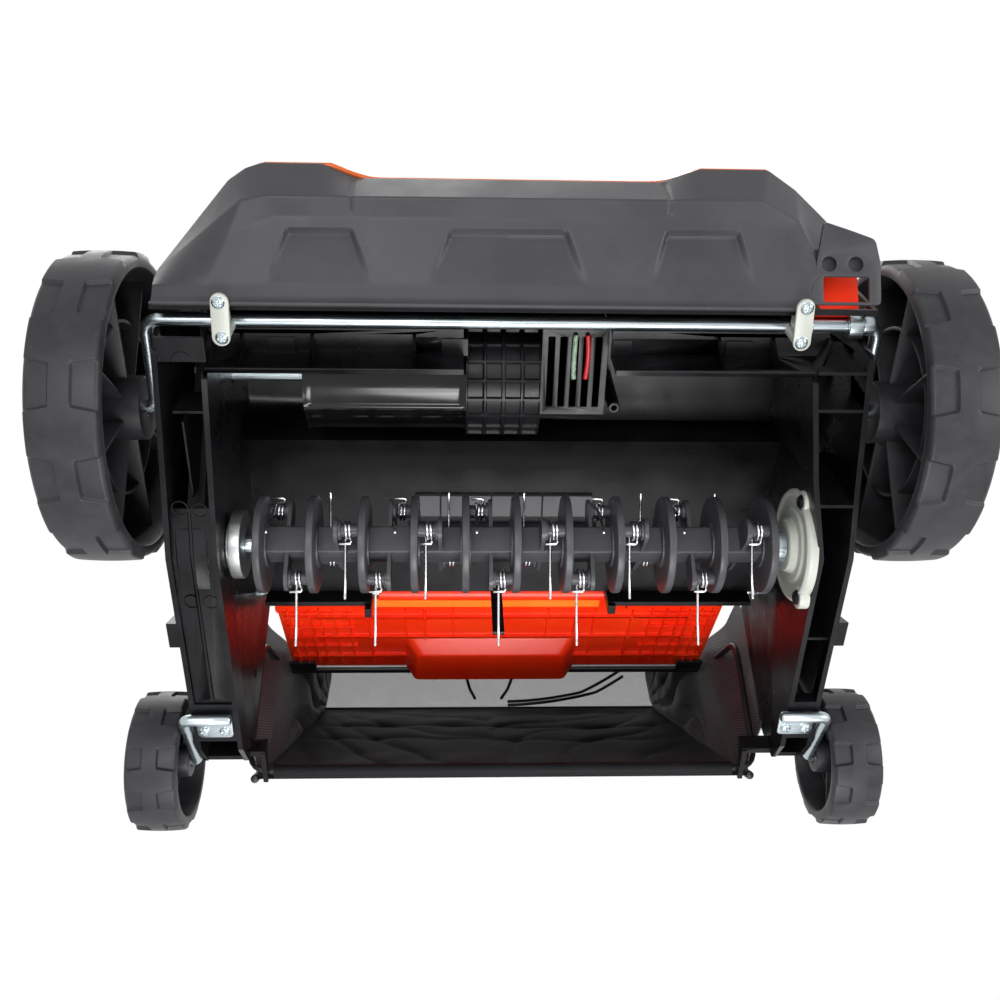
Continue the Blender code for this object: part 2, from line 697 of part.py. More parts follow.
def fascia_pocket(middle, top_half, low_half):
    """Wedge that cuts one trapezoid pocket into the sloping front."""
    low_edge = Vector(fascia_row(FASCIA_LOWER_EDGE)[5])
    crease = Vector(fascia_row(FASCIA_LOWER_CREASE)[5])
    low_edge.x = crease.x = 0.0
    slope = (crease - low_edge).normalized()
    lower, upper = low_edge + slope * 0.0015, crease - slope * 0.007
    out = Vector((0, -slope.z, slope.y))
    out = out if out.z < 0 else -out
    wide = DECK_HALF_WIDTH
    points = []
    for reach in (-POCKET_DEPTH, 0.010):
        for place, half in ((lower, low_half), (upper, top_half)):
            for side in (-half, half):
                points.append(place + out * reach + Vector(((middle + side) * wide, 0, 0)))
    faces = [(0, 1, 3, 2), (4, 5, 7, 6), (0, 1, 5, 4), (2, 3, 7, 6), (0, 2, 6, 4), (1, 3, 7, 5)]
    return mesh_of(points, faces)


def fascia_ear():
    """Sloping plate at the right end of the fascia, with a window for the depth lever and two round holes."""
    inner, outer = fascia_row(FASCIA_LOWER_EDGE)[-1][0] - 0.0015, DECK_HALF_WIDTH - 0.0005
    long = EAR_PLATE_LENGTH
    outline = [
        (inner, 0.0006),
        (outer, 0.0006),
        (outer, long * 0.53),
        (outer - 0.004, long * 0.80),
        (inner + 0.021, long),
        (inner + 0.012, long),
        (inner + 0.004, long * 0.45),
    ]
    plate = prism(outline, -FASCIA_WALL, 0.0, "Z")
    window_x = (LEVER_X - LEVER_FOOT_WIDTH + 0.0008, LEVER_X + 0.0012)
    near, far = window_x
    window = [(near, -0.01), (far, -0.01), (far, WINDOW_LENGTH), (near, WINDOW_LENGTH)]
    cut = [prism(window, -0.01, 0.01, "Z")]
    for x in (LEVER_X - 0.0235, LEVER_X - 0.0070):
        cut.append(prism(circle(x, long * 0.575, EAR_HOLE_RADIUS, 10), -0.01, 0.01, "Z"))
    return moved(combined(plate, (), cut), lean(180.0 - EAR_PLATE_SLOPE, EAR_PLATE_Y, EAR_PLATE_Z))


def front_fascia():
    """Dark grey front shell with its raised shoulders, three pockets and the ear by the depth lever."""
    rows = fascia_rows()
    count = len(rows[0])
    points = [p for row in rows for p in row]
    faces = []
    for r in range(len(rows) - 1):
        for c in range(count - 1):
            a = r * count + c
            faces.append((a, a + count, a + count + 1, a + 1))
    surface = bpy.data.meshes.new("surface")
    surface.from_pydata(points, [], [face[::-1] for face in faces])
    pockets = [fascia_pocket(*shares) for shares in FASCIA_POCKETS]
    return combined(thickened(surface, FASCIA_WALL), [fascia_ear()], pockets)


def cover_rings():
    """Outlines of the top cover, from its lower edge to its crown."""
    half, rear = COVER_HALF_WIDTH, COVER_REAR_Y
    side = [
        (half * 0.465, PLATEAU_Y + CENTRE_SETBACK),
        (half * 0.575, PLATEAU_Y),
        (half * 0.780, PLATEAU_Y),
        (half * 0.880, PLATEAU_Y + 0.012),
        (half, PLATEAU_Y + 0.036),
        (half, NOSE_WALL_Y - DECK_WALL - 0.004),
        (half, BAY_FRONT_Y - DECK_WALL - 0.0015),
        (half, rear * 0.45),
        (half * 0.94, rear),
    ]
    outline = side + [(-x, y) for x, y in side[::-1]]
    front_z = FASCIA_TOP_Z + 0.0021
    rings = []
    levels = (
        (1.0, 1.0, 0.0, 0.0),
        (0.985, 0.945, 0.030, 0.012),
        (0.945, 0.87, 0.066, 0.030),
        (0.80, 0.68, COVER_CROWN_Z - front_z, COVER_CROWN_Z - DECK_TOP_Z),
    )
    for across, along, front_rise, rear_rise in levels:
        ring = []
        for x, y in outline:
            base = front_z if y < NOSE_WALL_Y - DECK_WALL else DECK_TOP_Z + COVER_SEAT
            rise = front_rise if y < NOSE_WALL_Y - DECK_WALL else rear_rise
            ring.append((x * across, y * along, base + rise))
        rings.append(ring)
    return rings


def top_cover():
    """Orange cover over the motor, a shell that is open below."""
    rings = cover_rings()
    count = len(rings[0])
    points = [p for ring in rings for p in ring]
    faces = []
    for r in range(len(rings) - 1):
        for c in range(count):
            n = (c + 1) % count
            faces.append((r * count + c, r * count + n, (r + 1) * count + n, (r + 1) * count + c))
    faces.append(tuple(range((len(rings) - 1) * count, len(rings) * count)))
    surface = bpy.data.meshes.new("surface")
    surface.from_pydata(points, [], faces)
    return thickened(surface, COVER_WALL)


def axle_clamp(x):
    """Saddle that holds the front axle rod against its boss."""
    y, z, rod = AXLE_PIVOT_Y, AXLE_PIVOT_Z, AXLE_ROD_RADIUS + SEAT_GAP
    top, flange = SHELF_Z - SEAT_GAP, 0.0035
    low = z - rod - CLAMP_WALL
    front, rear = NOSE_WALL_Y, y - NOSE_WALL_Y + y
    outline = [
        (front, top),
        (front, top - flange),
        (y - rod - CLAMP_WALL, top - flange),
        (y - rod - CLAMP_WALL, low),
        (y + rod + CLAMP_WALL, low),
        (y + rod + CLAMP_WALL, top - flange),
        (rear, top - flange),
        (rear, top),
        (y + rod, top),
        (y + rod, z - rod),
        (y - rod, z - rod),
        (y - rod, top),
    ]
    return prism(outline, x - CLAMP_WIDTH / 2, x + CLAMP_WIDTH / 2)


def front_axle():
    """Cranked rod that carries both front wheels."""
    stub = FRONT_WHEEL_INNER_X + FRONT_WHEEL_WIDTH - WHEEL_WEB
    half = [(stub, 0, FRONT_WHEEL_RADIUS), (AXLE_ARM_X, 0, FRONT_WHEEL_RADIUS)]
    half.append((AXLE_ARM_X, AXLE_PIVOT_Y, AXLE_PIVOT_Z))
    path = [(-x, y, z) for x, y, z in half] + half[::-1]
    return swept(rounded(path, AXLE_BEND, 3), AXLE_ROD_RADIUS, 8)


def depth_lever():
    """Lever on the front axle rod, with its grip and with a wide foot in front of the rod."""
    y, z = AXLE_PIVOT_Y, AXLE_PIVOT_Z
    x0, x1 = LEVER_X - LEVER_THICKNESS / 2, LEVER_X + LEVER_THICKNESS / 2
    arm = box(x0, x1, y - LEVER_HALF_WIDTH, y + LEVER_HALF_WIDTH, z, z + LEVER_LENGTH)
    eye = rod_x(x0, x1, y, z, LEVER_EYE_RADIUS)
    top = z + LEVER_LENGTH
    low_half, high_half = LEVER_GRIP_LENGTH / 4, LEVER_GRIP_LENGTH / 3
    grip = [
        (y - low_half, top - LEVER_GRIP_LENGTH),
        (y + low_half, top - LEVER_GRIP_LENGTH),
        (y + high_half, top + 0.002),
        (y - high_half, top + 0.002),
    ]
    foot_x = (x1 - LEVER_FOOT_WIDTH - 0.001, x1 - 0.0012)
    room = AXLE_ROD_RADIUS + RUNNING_GAP
    foot = [(room, -0.004), (LEVER_FOOT_LENGTH, -0.004), (LEVER_FOOT_LENGTH, 0.004), (room, 0.004)]
    slope = Matrix.Rotation(math.radians(180.0 - LEVER_FOOT_SLOPE), 4, "X")
    plate = moved(prism(foot, *foot_x), Matrix.Translation((0, y, z)) @ slope)
    bore = bore_x(x0 - 0.03, x1 + 0.01, y, z, AXLE_ROD_RADIUS + SEAT_GAP)
    return combined(arm, [eye, prism(grip, x0 - 0.002, x1 + 0.002), plate], [bore])


def rear_axle(side):
    """Cranked rod of one rear wheel, with the plate that is screwed under the deck."""
    z = RIM_Z - SEAT_GAP - AXLE_ROD_RADIUS - 0.0003
    stub = REAR_WHEEL_INNER_X + REAR_WHEEL_WIDTH - WHEEL_WEB
    inner = REAR_PLATE_X - REAR_PLATE_LENGTH / 2
    path = [
        (inner + 0.0015, REAR_SEAT_Y, z),
        (REAR_ARM_X, REAR_SEAT_Y, z),
        (REAR_ARM_X, WHEELBASE, REAR_WHEEL_RADIUS),
        (stub, WHEELBASE, REAR_WHEEL_RADIUS),
    ]
    curve = [Vector((side * p.x, p.y, p.z)) for p in rounded(path, AXLE_BEND / 2, 1)]
    rod = swept(curve, AXLE_ROD_RADIUS, 8)
    ends = sorted((side * inner, side * (inner + REAR_PLATE_LENGTH)))
    top = RIM_Z - SEAT_GAP
    plate = box(*ends, REAR_SEAT_Y, REAR_SEAT_Y + REAR_PLATE_WIDTH, top - REAR_PLATE_THICKNESS, top)
    heads = []
    for place in (-0.007, 0.007):
        centre = (side * REAR_PLATE_X + place, REAR_SEAT_Y + REAR_PLATE_WIDTH - 0.006)
        heads.append(prism(circle(*centre, SCREW_HEAD_RADIUS, 8), top - 0.0045, top - 0.001, "Z"))
    return combined(rod, [plate, merged(heads)])


def tread_outline(radius, teeth):
    """Tyre outline with flat-topped blocks, one of them straight down."""
    pitch = 2 * math.pi / teeth
    outline = []
    for k in range(teeth):
        middle = -math.pi / 2 + k * pitch
        block, groove = pitch * 0.31, pitch * 0.40
        for angle, reach in (
            (middle - groove, radius - TREAD_DEPTH),
            (middle - block, radius / math.cos(block)),
            (middle + block, radius / math.cos(block)),
            (middle + groove, radius - TREAD_DEPTH),
        ):
            outline.append((reach * math.cos(angle), reach * math.sin(angle)))
    return outline


def wheel(radius, width, teeth, spokes, inner_x, side, y):
    """Wheel that is hollow on its inner side, with a hub, a ring rib and spokes."""
    ends = sorted((side * inner_x, side * (inner_x + width)))
    tyre = prism([(y + a, radius + b) for a, b in tread_outline(radius, teeth)], *ends)
    web_x = side * (inner_x + width - WHEEL_WEB)
    hollow = sorted((side * (inner_x - 0.01), web_x))
    bowl = rod_x(*hollow, y, radius, radius - TYRE_WALL, 22)
    shell = combined(tyre, (), [bowl])
    hub = 0.18 * radius + AXLE_ROD_RADIUS
    inset = sorted((side * (inner_x + 0.010), web_x + side * 0.001))
    ribs = []
    for k in range(spokes):
        turn = Matrix.Translation((0, y, radius)) @ Matrix.Rotation(2 * math.pi * k / spokes, 4, "X")
        spoke = box(*inset, hub - 0.003, radius - TYRE_WALL + 0.002, -SPOKE_WALL / 2, SPOKE_WALL / 2)
        ribs.append(moved(spoke, turn))
    boss = rod_x(*sorted((side * inner_x, web_x + side * 0.001)), y, radius, hub, 12)
    ends = sorted((side * (inner_x - 0.01), web_x + side * 0.0008))
    bore = bore_x(*ends, y, radius, AXLE_ROD_RADIUS + SEAT_GAP)
    return combined(shell, [boss, merged(ribs)], [bore])


def roller_drum():
    """Square core with its discs, lobed carriers and studs, bored for the shaft."""
    middle, half = ROLLER_MIDDLE_X, DISC_SPAN / 2
    start = math.radians(45 + FIRST_ROW_ANGLE)
    square = circle(ROLLER_Y, ROLLER_Z, CORE_HALF_SIDE * math.sqrt(2), 4, start)
    core = prism(square, middle - half, middle + half)
    discs, carriers, studs = [], [], []
    for k in range(DISC_COUNT):
        ends = (disc_x(k) - DISC_THICKNESS / 2, disc_x(k) + DISC_THICKNESS / 2)
        discs.append(rod_x(*ends, ROLLER_Y, ROLLER_Z, DISC_RADIUS, 18))
    for k in range(DISC_COUNT - 1):
        plate_x = disc_x(k) + DISC_PITCH / 2
        first, second = interval_rows(k)
        turn = row_angle(first)
        outline = []
        for end in (0, 180):
            a = math.radians(turn + end)
            centre = (ROLLER_Y + STUD_ORBIT * math.cos(a), ROLLER_Z + STUD_ORBIT * math.sin(a))
            outline += arc(*centre, CARRIER_LOBE_RADIUS, turn + end - 90, turn + end + 90, 4)
        carriers.append(prism(outline, plate_x - CARRIER_THICKNESS / 2, plate_x + CARRIER_THICKNESS / 2))
        near = disc_x(k) + DISC_THICKNESS / 2 - 0.001
        far = disc_x(k + 1) - DISC_THICKNESS / 2 + 0.001
        for row, ends in ((first, (near, plate_x)), (second, (plate_x, far))):
            studs.append(rod_x(*ends, *stud_place(row), STUD_RADIUS, 7))
    ends = (middle - half - 0.01, middle + half + 0.01)
    bore = bore_x(*ends, ROLLER_Y, ROLLER_Z, ROLLER_SHAFT_RADIUS + SEAT_GAP, 12)
    return combined(core, [merged(discs), merged(carriers), merged(studs)], [bore])


def stud_place(row):
    """Centre (y, z) of a row's studs."""
    a = math.radians(row_angle(row))
    return ROLLER_Y + STUD_ORBIT * math.cos(a), ROLLER_Z + STUD_ORBIT * math.sin(a)


def interval_rows(index):
    """Rows whose tines sit left and right of the carrier between two discs."""
    return ((2, 0), (3, 1), (0, 2), (1, 3))[index % 4]


def tine_path(x, row):
    """Hook, curls and leg of one spring tine. Its angles are those at which the tines hang at rest."""
    y, z = stud_place(row)
    leg_angle = (-30.3, -30.3, -99.3, 149.7)[row]
    hook_angle = (-30.3, -30.3, 149.7, 149.7)[row]
    winding = (-1, -1, 1, 1)[row]
    end = leg_angle - 90.0 * winding
    part = ((end - hook_angle) * winding % 360.0) / 360.0
    turns = part + (1 if part > 0.5 else 2)
    steps = round(turns * TINE_CURL_POINTS)
    first = x + TINE_PITCH * turns / 2
    path = []
    reach = COIL_RADIUS + TINE_HOOK_REACH
    hook = math.radians(hook_angle)
    for along in (first - TINE_HOOK_SHARE * DISC_PITCH, first):
        path.append(Vector((along, y + reach * math.cos(hook), z + reach * math.sin(hook))))
    for k in range(steps + 1):
        a = math.radians(end - winding * 360.0 * turns * (1 - k / steps))
        along = first - TINE_PITCH * turns * k / steps
        path.append(Vector((along, y + COIL_RADIUS * math.cos(a), z + COIL_RADIUS * math.sin(a))))
    for length, bend in ((TINE_LEG, 0.0), (TINE_TIP, TINE_TIP_BEND * winding)):
        a = math.radians(leg_angle + bend)
        path.append(path[-1] + Vector((0, math.cos(a), math.sin(a))) * length)
    return path


def least_gap(path, diameter):
    """Least distance of a wire to itself, measured between points that lie well apart along it."""
    fine = [a.lerp(b, k / 6) for a, b in zip(path, path[1:]) for k in range(6)]
    run = [0.0]
    for a, b in zip(fine, fine[1:]):
        run.append(run[-1] + (b - a).length)
    gaps = []
    for i, a in enumerate(fine):
        for j in range(i + 1, len(fine)):
            if run[j] - run[i] > 5 * diameter:
                gaps.append((a - fine[j]).length - diameter)
    return min(gaps)


def wire(name, path, radius):
    """Make a curve object's data: an unbroken round wire along a path."""
    curve = bpy.data.curves.new(name, "CURVE")
    curve.dimensions = "3D"
    curve.bevel_depth = radius
    curve.bevel_resolution = 1
    curve.use_fill_caps = True
    spline = curve.splines.new("POLY")
    spline.points.add(len(path) - 1)
    for point, place in zip(spline.points, path):
        point.co = (*place, 1.0)
    return curve


def roller_shaft():
    """Steel shaft from the belt pulley to the right bearing."""
    left = PULLEY_MIDDLE_X - PULLEY_WIDTH / 2
    return rod_x(left, CAVITY_RIGHT_X - 0.002, ROLLER_Y, ROLLER_Z, ROLLER_SHAFT_RADIUS)


def ring(x0, x1, bore, radius, y, z, sides=18):
    """Make a plain ring round an axis along X."""
    return turned([(x0, bore), (x0, radius), (x1, radius), (x1, bore)], y, z, sides)


def bearing_holder():
    """Cream flange with a hub, on the right wall of the cavity."""
    bore = ROLLER_SHAFT_RADIUS + SEAT_GAP
    wall = CAVITY_RIGHT_X - SEAT_GAP
    face = wall - HOLDER_FLANGE
    profile = [
        (face - HOLDER_HUB, bore),
        (face - HOLDER_HUB, HOLDER_HUB_RADIUS),
        (face, HOLDER_HUB_RADIUS + 0.003),
        (face, HOLDER_RADIUS - 0.002),
        (face + 0.002, HOLDER_RADIUS),
        (wall, HOLDER_RADIUS),
        (wall, bore),
    ]
    return turned(profile, ROLLER_Y, ROLLER_Z)


def motor_housing():
    """Ribbed can with the wider fan case, hung from the bay roof on a foot."""
    left, case, right = MOTOR_LEFT_X, FAN_CASE_LEFT_X, MOTOR_RIGHT_X
    wall, bore = MOTOR_WALL, MOTOR_SHAFT_RADIUS + RUNNING_GAP
    profile = [
        (left, bore),
        (left, MOTOR_CAN_RADIUS),
        (case, MOTOR_CAN_RADIUS),
        (case, FAN_CASE_RADIUS),
        (right, FAN_CASE_RADIUS),
        (right, FAN_CASE_RADIUS / 2),
        (right - wall, FAN_CASE_RADIUS / 2),
        (right - wall, FAN_CASE_RADIUS - wall),
        (case + wall, FAN_CASE_RADIUS - wall),
        (case + wall, MOTOR_CAN_RADIUS - wall),
        (left + wall, MOTOR_CAN_RADIUS - wall),
        (left + wall, bore),
    ]
    foot_top = BAY_ROOF_Z - SEAT_GAP
    foot = box(left + 0.020, case - 0.015, MOTOR_Y - 0.011, MOTOR_Y + 0.011, foot_top - 0.009, foot_top)
    return combined(turned(profile, MOTOR_Y, MOTOR_Z, 20), [foot])


def motor_rotor():
    """Armature, fan and pinion on the motor shaft."""
    left, case, right = MOTOR_LEFT_X, FAN_CASE_LEFT_X, MOTOR_RIGHT_X
    armature = MOTOR_CAN_RADIUS - MOTOR_WALL - 0.004
    fan = FAN_CASE_RADIUS - MOTOR_WALL - 0.003
    low, high = PULLEY_MIDDLE_X - PULLEY_WIDTH / 2, PULLEY_MIDDLE_X + PULLEY_WIDTH / 2
    shaft = MOTOR_SHAFT_RADIUS
    profile = [
        (low, 0.0),
        (low, PINION_RADIUS),
        (high, PINION_RADIUS),
        (high, shaft),
        (left + 0.012, shaft),
        (left + 0.012, armature),
        (case - 0.012, armature),
        (case - 0.012, shaft),
        (case + 0.012, shaft),
        (case + 0.012, fan),
        (right - 0.014, fan),
        (right - 0.014, 0.0),
    ]
    return turned(profile, MOTOR_Y, MOTOR_Z, 16)


def belt_loop(grow):
    """Outline round pinion and pulley, this far outside them."""
    small, large = Vector((MOTOR_Y, MOTOR_Z)), Vector((ROLLER_Y, ROLLER_Z))
    line = small - large
    angle = math.degrees(math.atan2(line.y, line.x))
    spread = math.degrees(math.acos((PULLEY_RADIUS - PINION_RADIUS) / line.length))
    loop = arc(*large, PULLEY_RADIUS + grow, angle + spread, angle + 360 - spread, 16)
    return loop + arc(*small, PINION_RADIUS + grow, angle - spread, angle + spread, 8)


def drive_belt():
    """Belt round the motor pinion and the roller pulley."""
    x0, x1 = PULLEY_MIDDLE_X - BELT_WIDTH / 2, PULLEY_MIDDLE_X + BELT_WIDTH / 2
    inner, outer = belt_loop(SEAT_GAP), belt_loop(SEAT_GAP + BELT_THICKNESS)
    count = len(inner)
    points = [(x, y, z) for x in (x0, x1) for loop in (inner, outer) for y, z in loop]
    faces = []
    for i in range(count):
        j = (i + 1) % count
        corners = [(s * count + i, s * count + j) for s in range(4)]
        for a, b in ((0, 1), (1, 3), (3, 2), (2, 0)):
            faces.append((corners[a][0], corners[a][1], corners[b][1], corners[b][0]))
    return mesh_of(points, faces)


def vent_grille():
    """Slotted duct that takes air to the motor's fan, open at its top."""
    x0, x1 = MOTOR_RIGHT_X + SEAT_GAP, MOTOR_RIGHT_X + GRILLE_WIDTH
    y0, y1 = BAY_FRONT_Y + SEAT_GAP, GRILLE_REAR_Y
    z0, z1 = GRILLE_LOW_Z, BAY_ROOF_Z - SEAT_GAP
    wall = GRILLE_WALL
    cut = [box(x0 + wall, x1 - wall, y0 + wall, y1 - wall, z0 + wall, z1 + 0.01)]
    room = (x1 - x0 - 2 * wall) / GRILLE_SLOTS
    for k in range(GRILLE_SLOTS):
        middle = x0 + wall + room * (k + 0.5)
        half = GRILLE_SLOT_WIDTH / 2
        cut.append(box(middle - half, middle + half, y0 + 0.006, y1 - 0.006, z0 - 0.01, z0 + wall + 0.01))
    port = (MOTOR_Y - 0.010, MOTOR_Z + 0.004, FAN_CASE_RADIUS / 2 - 0.002)
    cut.append(rod_x(x0 - 0.01, x0 + wall + 0.001, *port))
    return combined(box(x0, x1, y0, y1, z0, z1), (), cut)


def belt_cover():
    """Lid in the underside of the left channel, with a stiffening rib and a step."""
    x0, x1 = -DECK_HALF_WIDTH + DECK_WALL + SEAT_GAP, CAVITY_LEFT_X - DECK_WALL - SEAT_GAP
    low = RIM_Z + BELT_COVER_RISE
    y0, y1 = CROSS_WALL_Y + 0.006, REAR_SEAT_Y - 0.010 - SEAT_GAP
    middle = (x0 + x1) / 2
    rib = box(middle - 0.001, middle + 0.001, y0 + 0.004, y1 - 0.004, low - 0.003, low + 0.001)
    step = box(x0 + 0.003, x1 - 0.003, ROLLER_Y - 0.030, ROLLER_Y + 0.012, low - 0.0016, low + 0.001)
    return combined(box(x0, x1, y0, y1, low, low + BELT_COVER_THICKNESS), [rib, step])


def rear_flap():
    """Red-orange flap that rests raised over the bag, ribbed below, with a grip."""
    thick, half, low = FLAP_THICKNESS, FLAP_HALF_WIDTH, HINGE_BARREL_RADIUS + 0.002
    plate = box(-half, half, low, FLAP_LENGTH, -thick / 2, thick / 2)
    neck = box(-HINGE_BARREL_HALF, HINGE_BARREL_HALF, 0.0, low + 0.002, -thick / 2, thick / 2)
    barrel = rod_x(-HINGE_BARREL_HALF, HINGE_BARREL_HALF, 0, 0, HINGE_BARREL_RADIUS, 14)
    deep, wall = thick / 2 + FLAP_RIB_HEIGHT, FLAP_RIB_WALL / 2
    add = [barrel, neck]
    for share in (0.267, 0.533, 0.8):
        place = share * FLAP_LENGTH
        add.append(box(-half + 0.004, half - 0.004, place - wall, place + wall, -deep, 0.0))
    for share in (-0.86, -0.60, -0.344, 0.344, 0.60, 0.86):
        x = share * half
        add.append(box(x - wall, x + wall, 0.026, FLAP_LENGTH - 0.010, -deep + 0.0004, 0.0))
    grip = [
        (FLAP_LENGTH - 0.052, -thick / 2 + 0.0005),
        (FLAP_LENGTH - 0.044, -FLAP_GRIP_DEPTH),
        (FLAP_LENGTH + 0.002, -FLAP_GRIP_DEPTH),
        (FLAP_LENGTH + 0.002, thick / 2 - 0.0004),
    ]
    add.append(prism(grip, -FLAP_GRIP_HALF, FLAP_GRIP_HALF))
    bore = bore_x(-half, half, 0, 0, HINGE_PIN_RADIUS + SEAT_GAP, 10)
    mesh = combined(plate, add, [bore])
    return moved(mesh, lean(FLAP_ANGLE, HINGE_Y, HINGE_Z))


def flap_spring_path():
    """Torsion spring on the hinge pin, with one arm on the deck lip and one under the flap."""
    radius = HINGE_PIN_RADIUS + SEAT_GAP + FLAP_SPRING_WIRE
    pitch = 2 * FLAP_SPRING_WIRE + 0.0007
    start = HINGE_BARREL_HALF + 0.004
    flap, deck = math.radians(FLAP_ANGLE), math.radians(200.0)
    turns = FLAP_SPRING_CURLS - (flap - deck + math.pi) % (2 * math.pi) / (2 * math.pi)
    first = flap - math.pi / 2
    steps = round(turns * 8)
    path = []
    for k in range(steps + 1):
        a = first - 2 * math.pi * turns * k / steps
        place = Vector((start + pitch * turns * k / steps, HINGE_Y, HINGE_Z))
        path.append(place + Vector((0, math.cos(a), math.sin(a))) * radius)
    along = Vector((0, math.cos(flap), math.sin(flap)))
    arm = path[0] + along * 0.020
    a = first - 2 * math.pi * turns
    heading = Vector((0, math.sin(a), -math.cos(a)))
    return [arm] + path + [path[-1] + heading * 0.006]


def flap_point(along, above):
    """Place (y, z) at a distance along the flap and a height above its middle plane."""
    a = math.radians(FLAP_ANGLE)
    y = HINGE_Y + along * math.cos(a) - above * math.sin(a)
    return y, HINGE_Z + along * math.sin(a) + above * math.cos(a)


def top_bar():
    """Place (y, z) of the frame's upper bar, just behind the flap's grip."""
    return flap_point(FLAP_LENGTH + FLAP_TIP_GAP + FRAME_WIRE_RADIUS, -FRAME_WIRE_RADIUS - SEAT_GAP)


def bag_frame():
    """Wire loop round the bag's mouth, with two tabs on which the flap's rear corners rest."""
    half = FRAME_HALF_WIDTH
    knee = (MOUTH_LOW_Y - KNEE_BACK, MOUTH_LOW_Z + KNEE_RISE)
    low = Vector((0, MOUTH_LOW_Y, MOUTH_LOW_Z))
    side = [(MOUTH_LOW_Y, MOUTH_LOW_Z), knee, top_bar()]
    corners = [Vector((half, *p)) for p in side] + [Vector((-half, *p)) for p in side[::-1]]
    loop = rounded([low, *corners, low], FRAME_BEND)[1:-1]
    third = Vector((half * 0.3, 0, 0))
    wire_loop = swept([low + third] + loop + [low - third], FRAME_WIRE_RADIUS, 8, closed=True)
    far = FLAP_LENGTH + FLAP_TIP_GAP + FRAME_WIRE_RADIUS
    top = -FLAP_THICKNESS / 2 - SEAT_GAP
    outer = FLAP_HALF_WIDTH + 0.003
    tabs = []
    for side in (-1, 1):
        ends = sorted((side * outer, side * (outer - TAB_WIDTH)))
        tab = box(*ends, far - TAB_REACH, far, top - TAB_THICKNESS, top)
        tabs.append(moved(tab, lean(FLAP_ANGLE, HINGE_Y, HINGE_Z)))
    return combined(wire_loop, tabs)


def bag_hem_bar():
    """Dark grey clip round the lower bar of the frame, open above."""
    near, far = FRAME_WIRE_RADIUS + SEAT_GAP, FRAME_WIRE_RADIUS + SEAT_GAP + HEM_WALL
    outer = arc(MOUTH_LOW_Y, MOUTH_LOW_Z, far, 150, 390, 10)
    inner = arc(MOUTH_LOW_Y, MOUTH_LOW_Z, near, 390, 150, 10)
    return prism(outer + inner, -HEM_HALF_LENGTH, HEM_HALF_LENGTH)


def bag_outline():
    """Side view of the bag: lower lip, floor, back, top, upper lip and the side walls' front corner."""
    away = FRAME_WIRE_RADIUS + HEM_WALL + 2 * SEAT_GAP + BAG_WALL
    floor = Vector((BAG_PROFILE[0][0] * BAG_REACH, BAG_PROFILE[0][1] * BAG_HEIGHT)).normalized()
    y, z = MOUTH_LOW_Y + away * floor.y, MOUTH_LOW_Z - away * floor.x
    profile = [(y + back * BAG_REACH, z + up * BAG_HEIGHT) for back, up in BAG_PROFILE]
    bar = top_bar()
    upper_lip = (bar[0] + FRAME_WIRE_RADIUS + SEAT_GAP, bar[1] - 0.0015)
    corner = (MOUTH_LOW_Y - KNEE_BACK + 0.0045, MOUTH_LOW_Z + KNEE_RISE + 0.001)
    return [(y, z), *profile, upper_lip, corner]


def bag_fabric():
    """Grass bag, a shell that is open in front and under the flap."""
    outline = bag_outline()
    half = BAG_HALF_WIDTH
    room = offset(outline[:-1], BAG_WALL)
    low, high = Vector(room[0]), Vector(room[-1])
    ahead = Vector((-0.020, 0.0))
    corner = Vector(outline[-1]) + Vector((-0.020, -0.006))
    room = [*room, tuple(high + ahead), tuple(corner), tuple(low + ahead)]
    return combined(prism(outline, -half, half), (), [prism(room, -half + BAG_WALL, half - BAG_WALL)])


def lower_handle():
    """Two straight tubes with a brace, between the deck ears and the upper handle."""
    length, x = LOWER_LENGTH, LOWER_TUBE_X
    tubes = [rod_y(side * x, -TUBE_END, length + TUBE_END, TUBE_RADIUS) for side in (-1, 1)]
    brace = rod_x(-x, x, length - BRACE_BACK, 0, BRACE_RADIUS, 8)
    holes = []
    for side in (-1, 1):
        for along in (0.0, length):
            ends = (side * x - 0.02, side * x + 0.02)
            holes.append(bore_x(*ends, along, 0, BOLT_RADIUS + SEAT_GAP))
        holes.append(rod_y(side * x, -2 * TUBE_END, length + 2 * TUBE_END, TUBE_RADIUS - TUBE_WALL, 10))
    return moved(combined(brace, tubes, holes), lean(HANDLE_ANGLE, PIVOT_Y, PIVOT_Z))


def rod_y(x, y0, y1, radius, sides=12):
    """Make a round bar along Y at height nought, with flats to its left and right."""
    return prism(circle(x, 0, radius, sides, math.pi / sides), y0, y1, "Y")


def upper_handle():
    """U-shaped tube with the crossbar that the hands hold."""
    x, start = UPPER_TUBE_X, LOWER_LENGTH - TUBE_END
    corners = [(-x, start, 0), (-x, HANDLE_LENGTH, 0), (x, HANDLE_LENGTH, 0), (x, start, 0)]
    tube = swept(rounded(corners, HANDLE_BEND, 5), TUBE_RADIUS, 12)
    longer = [(-x, start - TUBE_END, 0), *corners[1:3], (x, start - TUBE_END, 0)]
    holes = [swept(rounded(longer, HANDLE_BEND, 5), TUBE_RADIUS - TUBE_WALL, 8)]
    for side in (-1, 1):
        holes.append(bore_x(side * x - 0.02, side * x + 0.02, LOWER_LENGTH, 0, BOLT_RADIUS + SEAT_GAP))
    holes.append(bore_x(-x - 0.002, -x + 0.02, SWITCH_S, 0, BAIL_RADIUS + SEAT_GAP))
    return moved(combined(tube, (), holes), lean(HANDLE_ANGLE, PIVOT_Y, PIVOT_Z))


